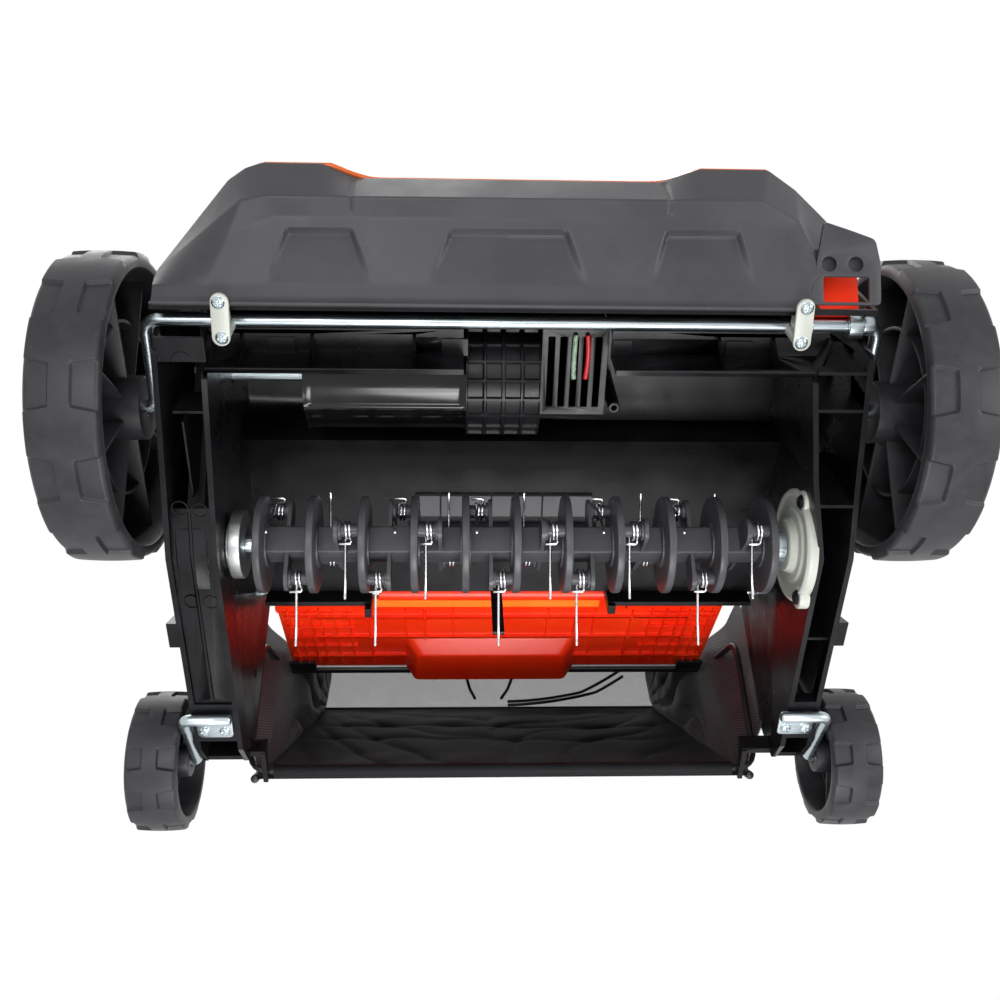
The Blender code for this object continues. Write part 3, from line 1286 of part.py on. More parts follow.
def star_knob(side, inner_x, outer_x, along):
    """Bolt with its head inside the handle joint and a lobed knob outside."""
    bolt = rod_x(*sorted((side * (inner_x - 0.004), side * (outer_x + 0.004))), along, 0, BOLT_RADIUS, 8)
    head_ends = sorted((side * (inner_x - 0.005), side * (inner_x - SEAT_GAP)))
    head = rod_x(*head_ends, along, 0, BOLT_RADIUS * 1.8, 6)
    outline = []
    for k in range(2 * KNOB_LOBES):
        a = math.pi * k / KNOB_LOBES
        reach = KNOB_RADIUS * (1.0 if k % 2 else 0.8)
        outline.append((along + reach * math.cos(a), reach * math.sin(a)))
    knob_ends = sorted((side * (outer_x + SEAT_GAP), side * (outer_x + SEAT_GAP + KNOB_LENGTH)))
    return moved(combined(bolt, [head, prism(outline, *knob_ends)]), lean(HANDLE_ANGLE, PIVOT_Y, PIVOT_Z))


def switch_box():
    """Switch housing on the upper handle, with the cord inlet below and holes for bail and button."""
    low, high = SWITCH_S - BOX_HALF_LENGTH, SWITCH_S + BOX_HALF_LENGTH
    corner = 0.006
    outline = [
        (low + corner, BOX_LOW),
        (high - corner, BOX_LOW),
        (high, BOX_LOW + corner),
        (high, BOX_HIGH - corner),
        (high - corner, BOX_HIGH),
        (low + corner, BOX_HIGH),
        (low, BOX_HIGH - corner),
        (low, BOX_LOW + corner),
    ]
    bail = bore_x(BOX_INNER_X - 0.01, BOX_INNER_X + 0.014, SWITCH_S, 0, BAIL_RADIUS + SEAT_GAP)
    bottom = BOX_HIGH - BUTTON_TRAVEL - 0.006
    button = prism(circle(BUTTON_X, SWITCH_S, BUTTON_RADIUS + SEAT_GAP), bottom, BOX_HIGH + 0.01, "Z")
    inlet = box(BUTTON_X - 0.016, BUTTON_X + 0.016, low - 0.01, low + INLET_DEPTH, -0.011, 0.011)
    mesh = combined(prism(outline, BOX_INNER_X, BOX_OUTER_X), (), [bail, button, inlet])
    return moved(mesh, lean(HANDLE_ANGLE, PIVOT_Y, PIVOT_Z))


def safety_button():
    """Round button that slides into the switch box."""
    bottom = BOX_HIGH - 0.006 + SEAT_GAP
    outline = circle(BUTTON_X, SWITCH_S, BUTTON_RADIUS)
    return moved(prism(outline, bottom, BOX_HIGH + BUTTON_PROUD, "Z"), lean(HANDLE_ANGLE, PIVOT_Y, PIVOT_Z))


def switch_bail():
    """Switch lever: a wire bow that the hand pulls against the crossbar."""
    a = math.radians(BAIL_ANGLE)
    along, above = SWITCH_S + BAIL_ARM * math.cos(a), BAIL_ARM * math.sin(a)
    path = [
        (BOX_INNER_X + 0.013, SWITCH_S, 0),
        (BAIL_RIGHT_X, SWITCH_S, 0),
        (BAIL_RIGHT_X, along, above),
        (BAIL_LEFT_X, along, above),
        (BAIL_LEFT_X, SWITCH_S, 0),
        (-UPPER_TUBE_X + 0.003, SWITCH_S, 0),
    ]
    return moved(swept(rounded(path, 0.008, 3), BAIL_RADIUS, 8), lean(HANDLE_ANGLE, PIVOT_Y, PIVOT_Z))


def build():
    """Make every piece and hang it on its joint."""
    clear_scene()
    black = material("black_polypropylene", (0.012, 0.012, 0.013), 0.42)
    gloss = material("glossy_black_plastic", (0.006, 0.006, 0.007), 0.2)
    grey = material("dark_grey_plastic", (0.095, 0.092, 0.097), 0.55)
    orange = material("orange_plastic", (0.75, 0.20, 0.03), 0.35)
    red = material("red_orange_plastic", (0.78, 0.045, 0.01), 0.35)
    cream = material("cream_nylon", (0.72, 0.74, 0.66), 0.35)
    zinc = material("zinc_plated_steel", (0.72, 0.73, 0.74), 0.25, 1.0)
    spring = material("bright_spring_steel", (0.85, 0.85, 0.85), 0.2, 1.0)
    rubber = material("black_rubber", (0.01, 0.01, 0.01), 0.7)
    fabric = material("black_bag_fabric", (0.012, 0.012, 0.013), 0.8)
    coated = material("black_coated_steel", (0.01, 0.01, 0.01), 0.4)

    root = Frame("scarifier", (0, 0, 0))
    root.empty.location = (0, -OUTLINE_MIDDLE_Y, 0)
    root.carry("deck_housing", deck_housing(), black)
    root.carry("front_fascia", front_fascia(), grey)
    root.carry("top_cover", top_cover(), orange)
    root.carry("motor_housing", motor_housing(), gloss)
    root.carry("vent_grille", vent_grille(), black)
    root.carry("belt_cover", belt_cover(), black)
    root.carry("drive_belt", drive_belt(), rubber)
    for name, x in zip(("axle_clamp_left", "axle_clamp_right"), CLAMP_X):
        root.carry(name, axle_clamp(x), cream)
    root.carry("rear_axle_left", rear_axle(-1), zinc)
    root.carry("rear_axle_right", rear_axle(1), zinc)
    bore = ROLLER_SHAFT_RADIUS + SEAT_GAP
    ring_x = CAVITY_LEFT_X + SEAT_GAP
    left_ring = ring(ring_x, ring_x + LEFT_RING_WIDTH, bore, LEFT_RING_RADIUS, ROLLER_Y, ROLLER_Z)
    root.carry("bearing_ring_left", left_ring, zinc)
    root.carry("bearing_holder_right", bearing_holder(), cream)
    sleeve_x = CAVITY_RIGHT_X - 2 * SEAT_GAP - HOLDER_FLANGE - HOLDER_HUB
    sleeve = ring(sleeve_x - RIGHT_SLEEVE_WIDTH, sleeve_x, bore, RIGHT_SLEEVE_RADIUS, ROLLER_Y, ROLLER_Z)
    root.carry("bearing_sleeve_right", sleeve, zinc)
    pin = rod_x(CAVITY_LEFT_X + SEAT_GAP, CAVITY_RIGHT_X - SEAT_GAP, HINGE_Y, HINGE_Z, HINGE_PIN_RADIUS, 12)
    root.carry("flap_pin", pin, zinc)
    spring_path = flap_spring_path()
    print(f"flap spring: least gap {least_gap(spring_path, 2 * FLAP_SPRING_WIRE) * 1000:.2f} mm")
    root.carry("flap_spring", wire("flap_spring", spring_path, FLAP_SPRING_WIRE), spring)
    root.carry("bag_frame", bag_frame(), coated)
    root.carry("bag_hem_bar", bag_hem_bar(), grey)
    root.carry("bag_fabric", bag_fabric(), fabric)

    roller = Frame("roller_axis", (ROLLER_MIDDLE_X, ROLLER_Y, ROLLER_Z), root)
    roller.carry("roller_drum", roller_drum(), grey)
    roller.carry("roller_shaft", roller_shaft(), zinc)
    low, high = PULLEY_MIDDLE_X - PULLEY_WIDTH / 2, PULLEY_MIDDLE_X + PULLEY_WIDTH / 2
    roller.carry("roller_pulley", ring(low, high, bore, PULLEY_RADIUS, ROLLER_Y, ROLLER_Z), black)
    for k in range(DISC_COUNT - 1):
        for which, row in enumerate(interval_rows(k)):
            path = tine_path(disc_x(k) + TINE_OFFSET_SHARES[which] * DISC_PITCH, row)
            if k < 2:
                print(f"tine of row {row}: least gap {least_gap(path, 2 * TINE_WIRE_RADIUS) * 1000:.2f} mm")
            name = f"tine_{2 * k + which + 1:02d}"
            roller.carry(name, wire(name, path, TINE_WIRE_RADIUS), spring)

    motor = Frame("motor_axis", (0, MOTOR_Y, MOTOR_Z), root)
    motor.carry("motor_rotor", motor_rotor(), zinc)

    axle = Frame("front_axle_axis", (0, AXLE_PIVOT_Y, AXLE_PIVOT_Z), root)
    axle.carry("front_axle", front_axle(), zinc)
    axle.carry("depth_lever", depth_lever(), red)
    for side, word in ((-1, "left"), (1, "right")):
        hub = Frame(f"front_wheel_{word}_axis", (side * FRONT_WHEEL_INNER_X, 0, FRONT_WHEEL_RADIUS), axle)
        sizes = (FRONT_WHEEL_RADIUS, FRONT_WHEEL_WIDTH, FRONT_WHEEL_TEETH, 8, FRONT_WHEEL_INNER_X)
        hub.carry(f"front_wheel_{word}", wheel(*sizes, side, 0.0), black)
        place = (side * REAR_WHEEL_INNER_X, WHEELBASE, REAR_WHEEL_RADIUS)
        hub = Frame(f"rear_wheel_{word}_axis", place, root)
        sizes = (REAR_WHEEL_RADIUS, REAR_WHEEL_WIDTH, REAR_WHEEL_TEETH, 6, REAR_WHEEL_INNER_X)
        hub.carry(f"rear_wheel_{word}", wheel(*sizes, side, WHEELBASE), black)

    flap = Frame("flap_axis", (0, HINGE_Y, HINGE_Z), root)
    flap.carry("rear_flap", rear_flap(), red)

    lower = Frame("lower_handle_axis", (0, PIVOT_Y, PIVOT_Z), root)
    lower.carry("lower_handle", lower_handle(), coated)
    ear = EAR_INNER_X
    for side, word in ((-1, "left"), (1, "right")):
        knob = Frame(f"pivot_knob_{word}_axis", (side * ear, PIVOT_Y, PIVOT_Z), root)
        knob.carry(f"pivot_knob_{word}", star_knob(side, ear, LOWER_TUBE_X + TUBE_RADIUS, 0.0), black)
    fold_place = lean(HANDLE_ANGLE, PIVOT_Y, PIVOT_Z) @ Vector((0, LOWER_LENGTH, 0))
    for side, word in ((-1, "left"), (1, "right")):
        inner, outer = LOWER_TUBE_X - TUBE_RADIUS, UPPER_TUBE_X + TUBE_RADIUS
        knob = Frame(f"fold_knob_{word}_axis", fold_place + Vector((side * inner, 0, 0)), lower)
        knob.carry(f"fold_knob_{word}", star_knob(side, inner, outer, LOWER_LENGTH), red)
    upper = Frame("upper_handle_axis", fold_place, lower)
    upper.carry("upper_handle", upper_handle(), coated)
    upper.carry("switch_box", switch_box(), black)
    switch_place = lean(HANDLE_ANGLE, PIVOT_Y, PIVOT_Z) @ Vector((0, SWITCH_S, 0))
    bail = Frame("switch_bail_axis", switch_place, upper)
    bail.carry("switch_bail", switch_bail(), red)
    button = Frame("safety_button_axis", switch_place + Vector((BUTTON_X, 0, 0)), upper)
    button.carry("safety_button", safety_button(), red)


build()
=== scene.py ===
"""Looks of an electric lawn scarifier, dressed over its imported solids.

Sizes are in metres from the point on the ground below the front wheels: X runs to the viewer's right
in the photograph, Y to the rear and Z up. Workshop.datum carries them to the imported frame.
"""

from __future__ import annotations

import logging
import math
from collections.abc import Callable, Iterable, Sequence
from dataclasses import dataclass
from enum import Enum
from functools import reduce
from typing import Any

import bmesh
import bpy
import numpy as np
from mathutils import Matrix, Vector

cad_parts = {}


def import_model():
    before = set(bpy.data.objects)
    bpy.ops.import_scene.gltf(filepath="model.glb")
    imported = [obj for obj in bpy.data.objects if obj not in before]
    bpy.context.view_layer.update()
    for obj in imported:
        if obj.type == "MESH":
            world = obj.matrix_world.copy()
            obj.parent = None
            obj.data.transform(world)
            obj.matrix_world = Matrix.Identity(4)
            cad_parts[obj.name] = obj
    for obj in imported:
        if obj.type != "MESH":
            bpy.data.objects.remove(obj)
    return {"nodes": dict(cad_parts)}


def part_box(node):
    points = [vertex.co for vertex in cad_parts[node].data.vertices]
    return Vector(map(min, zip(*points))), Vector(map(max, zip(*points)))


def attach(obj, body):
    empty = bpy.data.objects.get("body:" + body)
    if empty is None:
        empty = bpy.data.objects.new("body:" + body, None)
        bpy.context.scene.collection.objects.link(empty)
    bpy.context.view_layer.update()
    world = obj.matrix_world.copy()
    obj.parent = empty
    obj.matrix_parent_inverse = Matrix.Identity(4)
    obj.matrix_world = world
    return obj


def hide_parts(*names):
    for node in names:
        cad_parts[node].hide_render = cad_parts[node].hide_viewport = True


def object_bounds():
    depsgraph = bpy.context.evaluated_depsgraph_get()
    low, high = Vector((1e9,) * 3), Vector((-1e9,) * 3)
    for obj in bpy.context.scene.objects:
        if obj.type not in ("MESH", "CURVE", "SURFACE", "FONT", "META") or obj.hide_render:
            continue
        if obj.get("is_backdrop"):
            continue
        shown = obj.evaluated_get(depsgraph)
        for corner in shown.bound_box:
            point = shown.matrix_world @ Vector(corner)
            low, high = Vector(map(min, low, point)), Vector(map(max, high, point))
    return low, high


LOG = logging.getLogger("scarifier")
Array = np.ndarray


class Axis(Enum):
    """Direction in which an outline is carried: the order of (along, first, second) in X, Y and Z."""

    X = (0, 1, 2)
    Y = (1, 0, 2)
    Z = (1, 2, 0)


# Surfaces as arrays


@dataclass(frozen=True)
class Shape:
    """A surface: an (n, 3) array of points, and arrays of faces, one for each number of corners."""

    points: Array
    faces: tuple[Array, ...]

    def __add__(self, other: Shape) -> Shape:
        """Both surfaces as one."""
        moved = tuple(group + len(self.points) for group in other.faces)
        return Shape(np.vstack((self.points, other.points)), self.faces + moved)

    def placed(self, matrix: Matrix) -> Shape:
        """The surface after a turn and a shift."""
        m = np.array(matrix)
        return Shape(self.points @ m[:3, :3].T + m[:3, 3], self.faces)

    def shifted(self, x: float = 0.0, y: float = 0.0, z: float = 0.0) -> Shape:
        """The surface moved by x, y and z."""
        return Shape(self.points + (x, y, z), self.faces)

    def mirrored(self) -> Shape:
        """The surface on the machine's other side, with its faces still outwards."""
        return Shape(self.points * (-1, 1, 1), tuple(group[:, ::-1] for group in self.faces))


def joined(shapes: Iterable[Shape]) -> Shape:
    """Several surfaces as one."""
    return reduce(Shape.__add__, shapes)


def both_sides(shape: Shape) -> Shape:
    """The surface and its mirror image."""
    return shape + shape.mirrored()


def grid_quads(rows: int, columns: int, wrap_rows: bool = False, wrap_columns: bool = False) -> Array:
    """Quads of a grid of points that is stored row by row: each joins a point to the next in both directions.

    Args:
        rows: Number of rows.
        columns: Number of points in a row.
        wrap_rows: Whether the last row joins the first.
        wrap_columns: Whether the last point of a row joins its first.

    Returns:
        An (m, 4) array of point numbers.
    """
    r = np.arange(rows if wrap_rows else rows - 1)[:, None]
    c = np.arange(columns if wrap_columns else columns - 1)[None, :]
    below, beside = (r + 1) % rows, (c + 1) % columns
    corners = (r * columns + c, r * columns + beside, below * columns + beside, below * columns + c)
    return np.stack(corners, axis=-1).reshape(-1, 4)


def net(points: Array, wrap_rows: bool = False, wrap_columns: bool = False) -> Shape:
    """Surface over a (rows, columns, 3) grid of points."""
    rows, columns = points.shape[:2]
    return Shape(points.reshape(-1, 3), (grid_quads(rows, columns, wrap_rows, wrap_columns),))


def unit(vectors: Array) -> Array:
    """Vectors divided by their lengths."""
    return vectors / np.maximum(np.linalg.norm(vectors, axis=-1, keepdims=True), 1e-12)


def circle(a: float, b: float, radius: float, sides: int = 48, start: float = 0.0) -> Array:
    """Points (a + r cos t, b + r sin t) for evenly spaced t."""
    t = np.linspace(0, 2 * np.pi, sides, endpoint=False) + start
    return np.stack((a + radius * np.cos(t), b + radius * np.sin(t)), axis=1)


def arc(a: float, b: float, radius: float, first: float, last: float, steps: int) -> Array:
    """Points of a circle from the first to the last angle, in degrees."""
    t = np.radians(np.linspace(first, last, steps + 1))
    return np.stack((a + radius * np.cos(t), b + radius * np.sin(t)), axis=1)


def bends(before: Array, here: Array, after: Array, radius: float | Array, steps: int) -> Array:
    """Quadratic curve at each corner: start (1-t)^2 + corner 2t(1-t) + end t^2, both ends a radius away.

    Args:
        before: Points before the corners.
        here: The corners.
        after: Points after the corners.
        radius: Distance from a corner to the ends of its curve, at most 0.45 of the shorter run.
        steps: Steps of each curve.

    Returns:
        All the curves' points, in order.
    """
    back, ahead = before - here, after - here
    room = 0.45 * np.minimum(np.linalg.norm(back, axis=1), np.linalg.norm(ahead, axis=1))
    reach = np.minimum(np.broadcast_to(radius, len(here)), room)[:, None]
    start, end = here + unit(back) * reach, here + unit(ahead) * reach
    t = np.linspace(0, 1, steps + 1)[None, :, None]
    curve = start[:, None] * (1 - t) ** 2 + here[:, None] * 2 * t * (1 - t) + end[:, None] * t**2
    return curve.reshape(-1, here.shape[1])


def eased(outline: Sequence | Array, radius: float | Array, steps: int = 4) -> Array:
    """Closed outline with its corners rounded."""
    here = np.asarray(outline, float)
    return bends(np.roll(here, 1, 0), here, np.roll(here, -1, 0), radius, steps)


def bent(path: Sequence | Array, radius: float | Array, steps: int = 8) -> Array:
    """Open path with its inner corners rounded."""
    p = np.asarray(path, float)
    return np.vstack((p[:1], bends(p[:-2], p[1:-1], p[2:], radius, steps), p[-1:]))


def spaced(path: Array, step: float) -> Array:
    """Open path with points every step along it."""
    run = np.concatenate(([0.0], np.cumsum(np.linalg.norm(np.diff(path, axis=0), axis=1))))
    at = np.linspace(0, run[-1], max(int(run[-1] / step), 2) + 1)
    return np.stack([np.interp(at, run, path[:, k]) for k in range(path.shape[1])], axis=1)


def prism(outline: Sequence | Array, low: float, high: float, axis: Axis = Axis.X) -> Shape:
    """Outline of (first, second) pairs carried straight along an axis, with a face at each end."""
    outline = np.asarray(outline, float)
    count = len(outline)
    columns = (np.repeat((low, high), count), *np.tile(outline, (2, 1)).T)
    points = np.stack([columns[k] for k in axis.value], axis=1)
    ring = np.arange(count)
    after = np.roll(ring, -1)
    sides = np.stack((ring, after, after + count, ring + count), axis=1)
    return Shape(points, (sides, ring[None, ::-1], ring[None] + count))


def block(x0: float, x1: float, y0: float, y1: float, z0: float, z1: float) -> Shape:
    """Straight-sided block between two corners."""
    return prism([(y0, z0), (y1, z0), (y1, z1), (y0, z1)], x0, x1)


def blocks(rows: Iterable[Sequence[float]]) -> Shape:
    """Several blocks as one surface."""
    return joined(block(*row) for row in rows)


def ring_section(x0: float, x1: float, bore: float, radius: float) -> list[tuple[float, float]]:
    """Corners (x, r) of a ring's section."""
    return [(x0, bore), (x0, radius), (x1, radius), (x1, bore)]


def turned(
    profile: Sequence | Array, y: float, z: float, sides: int = 48, ease: float = 0.0, steps: int = 4
) -> Shape:
    """Closed profile of (x, r) turned round an axis along X: (x, y + r cos t, z + r sin t).

    Args:
        profile: Corners of the profile.
        y: Place of the axis to the rear.
        z: Height of the axis.
        sides: Points round the axis.
        ease: Radius given to the profile's corners.
        steps: Steps of each rounded corner.

    Returns:
        The closed surface.
    """
    if ease:
        profile = eased(profile, ease, steps)
    x, r = np.asarray(profile, float).T[:, :, None]
    t = np.linspace(0, 2 * np.pi, sides, endpoint=False)
    return net(np.stack(np.broadcast_arrays(x, y + r * np.cos(t), z + r * np.sin(t)), axis=-1), True, True)


def carried(
    section: Array, path: Array, square: Sequence | Array, scale: Array | float = 1.0, loop: bool = False
) -> Shape:
    """Section of (a, b) carried along a path: path + a n + b (t x n), n being `square` made square to t.

    Args:
        section: Closed outline, counter-clockwise.
        path: Points of the path.
        square: One vector, or one for each point, that is never along the path.
        scale: Size of the section, or one for each point.
        loop: Whether the path closes.

    Returns:
        The surface, with an end face at each end of an open path.
    """
    ahead, behind = np.roll(path, -1, 0), np.roll(path, 1, 0)
    if not loop:
        ahead[-1], behind[0] = path[-1], path[0]
    along = unit(ahead - behind)
    square = np.broadcast_to(square, path.shape)
    n = unit(square - along * np.sum(square * along, axis=1, keepdims=True))
    b = np.cross(along, n)
    size = np.broadcast_to(scale, len(path))[:, None, None]
    points = path[:, None] + size * (section[None, :, :1] * n[:, None] + section[None, :, 1:] * b[:, None])
    shape = net(points, loop, True)
    if loop:
        return shape
    ring = np.arange(len(section))
    return Shape(shape.points, (*shape.faces, ring[None, ::-1], ring[None] + (len(path) - 1) * len(section)))


def rod(path: Array, radius: float, square: Sequence | Array, sides: int = 20, loop: bool = False) -> Shape:
    """Round bar along a path, with its ends chamfered."""
    if loop:
        return carried(circle(0, 0, radius, sides), path, square, loop=True)
    tip = unit(path[[1, -2]] - path[[0, -1]]) * radius * 0.25
    longer = np.vstack((path[:1], path[:1] + tip[0], path[1:-1], path[-1:] + tip[1], path[-1:]))
    scale = np.ones(len(longer))
    scale[[0, -1]] = 0.75
    square = np.broadcast_to(square, path.shape)[[0, *range(len(path)), -1]]
    return carried(circle(0, 0, radius, sides), longer, square, scale)


def between(rows: Array, at: Array) -> Array:
    """Rows of points at fractional places: each is the mix of its two neighbours."""
    low = np.minimum(at.astype(int), len(rows) - 2)
    share = (at - low).reshape(-1, *[1] * (rows.ndim - 1))
    return rows[low] * (1 - share) + rows[low + 1] * share


def stops(rows: Array, step: float) -> Array:
    """Fractional places between rows, so close that no two neighbours lie much more than a step apart."""
    gaps = np.linalg.norm(np.diff(rows, axis=0), axis=-1).max(axis=1)
    counts = np.maximum(np.ceil(gaps / step).astype(int), 1)
    starts = np.repeat(np.arange(len(counts)), counts)
    first = np.repeat(np.cumsum(counts) - counts, counts)
    return np.append(starts + (np.arange(len(starts)) - first) / np.repeat(counts, counts), len(counts))


def softened(points: Array, passes: int, wrap_columns: bool = False) -> Array:
    """Grid with each point drawn to its neighbours, (before + 2 here + after) / 4 in both directions."""
    points = points.copy()
    for _ in range(passes):
        points[1:-1] = (points[:-2] + 2 * points[1:-1] + points[2:]) / 4
        if wrap_columns:
            points = (np.roll(points, 1, 1) + 2 * points + np.roll(points, -1, 1)) / 4
        else:
            points[:, 1:-1] = (points[:, :-2] + 2 * points[:, 1:-1] + points[:, 2:]) / 4
    return points


def smoothstep(x: Array) -> Array:
    """3x^2 - 2x^3 between 0 and 1."""
    x = np.clip(x, 0, 1)
    return x * x * (3 - 2 * x)


def new_object(name: str, data: Any) -> bpy.types.Object:
    """Object at the origin, linked into the scene."""
    made = bpy.data.objects.new(name, data)
    bpy.context.scene.collection.objects.link(made)
    return made


def shape_of(mesh: bpy.types.Mesh) -> Shape:
    """The triangles of a mesh as a surface."""
    mesh.calc_loop_triangles()
    points = np.empty(len(mesh.vertices) * 3, np.float32)
    mesh.vertices.foreach_get("co", points)
    corners = np.empty(len(mesh.loop_triangles) * 3, np.int32)
    mesh.loop_triangles.foreach_get("vertices", corners)
    return Shape(points.reshape(-1, 3).astype(float), (corners.reshape(-1, 3),))


def cut_plate(loops: Sequence[Array], thickness: float, edge: float) -> Shape:
    """Plate round the XY plane, filled between an outer outline and its holes, with rounded edges.

    Args:
        loops: The outer outline and then the holes, as (x, y) points.
        thickness: Thickness, half above and half below.
        edge: Radius of the edges.

    Returns:
        The plate as triangles.
    """
    curve = bpy.data.curves.new("plate", "CURVE")
    curve.dimensions, curve.fill_mode = "2D", "BOTH"
    curve.extrude, curve.offset = thickness / 2 - edge, -edge
    curve.bevel_depth, curve.bevel_resolution = edge, 1
    for loop in loops:
        spline = curve.splines.new("POLY")
        spline.points.add(len(loop) - 1)
        flat = np.column_stack((loop, np.zeros(len(loop)), np.ones(len(loop))))
        spline.points.foreach_set("co", flat.ravel())
        spline.use_cyclic_u = True
    worker = new_object("plate", curve)
    mesh = bpy.data.meshes.new_from_object(worker.evaluated_get(bpy.context.evaluated_depsgraph_get()))
    shape = shape_of(mesh)
    bpy.data.objects.remove(worker)
    bpy.data.curves.remove(curve)
    bpy.data.meshes.remove(mesh)
    return shape


def posed(place: Sequence[float], degrees: float, axis: str = "X") -> Matrix:
    """Matrix that turns a part drawn at the origin about an axis and moves it to its place."""
    return Matrix.Translation(place) @ Matrix.Rotation(math.radians(degrees), 4, axis)


def lean(angle: float, y: float, z: float) -> Matrix:
    """Matrix that takes (x, distance along, height above) to a leaning part's place."""
    return posed((0, y, z), angle)


# Finishes


def linear(code: str) -> tuple[float, float, float, float]:
    """sRGB hex value as linear colour: c / 12.92 when small, otherwise ((c + 0.055) / 1.055) ^ 2.4."""
    c = np.array([int(code[k : k + 2], 16) for k in (1, 3, 5)]) / 255
    value = np.where(c <= 0.04045, c / 12.92, ((c + 0.055) / 1.055) ** 2.4)
    return (*(float(v) for v in value), 1.0)


def fill(tree: Any, node: Any, inputs: dict[str | int, Any]) -> None:
    """Give a node's sockets their values, or link them to the outputs that feed them."""
    for key, value in inputs.items():
        if isinstance(value, bpy.types.NodeSocket):
            tree.links.new(value, node.inputs[key])
        else:
            node.inputs[key].default_value = value


def add_node(tree: Any, kind: str, inputs: dict[str | int, Any] | None = None, **settings: Any) -> Any:
    """Add a node, set its properties, and fill its sockets with values or links.

    Args:
        tree: The material's or world's node tree.
        kind: Blender's name for the node, without "ShaderNode".
        inputs: Sockets by name or number, each with a value or with the output that feeds it.
        settings: Properties and their values.

    Returns:
        The node.
    """
    node = tree.nodes.new(f"ShaderNode{kind}")
    for key, value in settings.items():
        setattr(node, key, value)
    fill(tree, node, inputs or {})
    return node


@dataclass(frozen=True)
class Finish:
    """A finish by its common name, and the name of a slot, which nothing in this script reads."""

    name: str
    slot: str

    def material(self) -> bpy.types.Material:
        """The finish's material, made once."""
        made = bpy.data.materials.get(self.name)
        if made is None:
            made = bpy.data.materials.new(self.name)
            made.use_nodes = True
            self.draw(made.node_tree, made.node_tree.nodes["Principled BSDF"])
        return made

    def draw(self, tree: Any, surface: Any) -> None:
        """Add the nodes that feed the surface."""
        raise NotImplementedError


@dataclass(frozen=True)
class MouldedPlastic(Finish):
    """Injection-moulded plastic: a nearly even colour, a fine tool grain and a sheen that drifts a little.

    The cloud is the drift of gloss and tone over flow fronts and handling, and the grain is the tool's
    spark-eroded texture, drawn a little coarser than the real 0.1 to 0.2 mm so that it shows.
    """

    colour: str
    pale: str
    roughness: float
    spread: float = 0.08
    grain_mm: float = 0.7
    grain_depth_mm: float = 0.02
    cloud_mm: float = 30.0
    ior: float = 1.49
    shine: float = 0.5

    def draw(self, tree: Any, surface: Any) -> None:
        """Cloud for tone and gloss, grain for the bump."""
        place = add_node(tree, "TexCoord").outputs["Object"]
        cloudy = {"Vector": place, "Scale": 1000 / self.cloud_mm, "Detail": 4.0, "Roughness": 0.65}
        cloud = add_node(tree, "TexNoise", cloudy).outputs["Fac"]
        tone = add_node(tree, "MapRange", {"Value": cloud, "From Min": 0.38, "From Max": 0.68}).outputs[0]
        tones = {0: tone, 6: linear(self.colour), 7: linear(self.pale)}
        ends = {"To Min": self.roughness - self.spread, "To Max": self.roughness + self.spread}
        gloss = add_node(tree, "MapRange", {"Value": cloud, "From Min": 0.3, "From Max": 0.7, **ends})
        grain = add_node(tree, "TexNoise", {"Vector": place, "Scale": 1000 / self.grain_mm, "Detail": 1.0})
        relief = {"Height": grain.outputs["Fac"], "Strength": 1.0, "Distance": self.grain_depth_mm / 1000}
        fill(tree, surface, {
            "Base Color": add_node(tree, "Mix", tones, data_type="RGBA").outputs[2],
            "Roughness": gloss.outputs[0],
            "Normal": add_node(tree, "Bump", relief).outputs[0],
            "IOR": self.ior,
            "Specular IOR Level": self.shine,
        })


@dataclass(frozen=True)
class PlatedSteel(Finish):
    """Plated or drawn steel: bright metal whose sheen varies, with draw marks along one direction."""

    colour: str
    dull: str
    roughness: float
    along: Axis = Axis.X
    mark_mm: float = 0.5

    def draw(self, tree: Any, surface: Any) -> None:
        """Cloudy plating for tone and gloss, stretched noise for the draw marks."""
        place = add_node(tree, "TexCoord").outputs["Object"]
        cloud = add_node(tree, "TexNoise", {"Vector": place, "Scale": 70.0, "Detail": 3.0}).outputs["Fac"]
        tones = {0: cloud, 6: linear(self.colour), 7: linear(self.dull)}
        stretch = [1000 / self.mark_mm] * 3
        stretch[self.along.value.index(0)] = 30.0
        marks = add_node(tree, "Mapping", {"Vector": place, "Scale": stretch}, vector_type="POINT").outputs[0]
        lines = add_node(tree, "TexNoise", {"Vector": marks, "Scale": 1.0, "Detail": 2.0}).outputs["Fac"]
        ends = {"To Min": self.roughness * 0.7, "To Max": self.roughness * 1.4}
        gloss = add_node(tree, "MapRange", {"Value": lines, "From Min": 0.3, "From Max": 0.7, **ends})
        relief = {"Height": lines, "Strength": 0.6, "Distance": 0.00001}
        fill(tree, surface, {
            "Base Color": add_node(tree, "Mix", tones, data_type="RGBA").outputs[2],
            "Roughness": gloss.outputs[0],
            "Normal": add_node(tree, "Bump", relief).outputs[0],
            "Metallic": 1.0,
        })


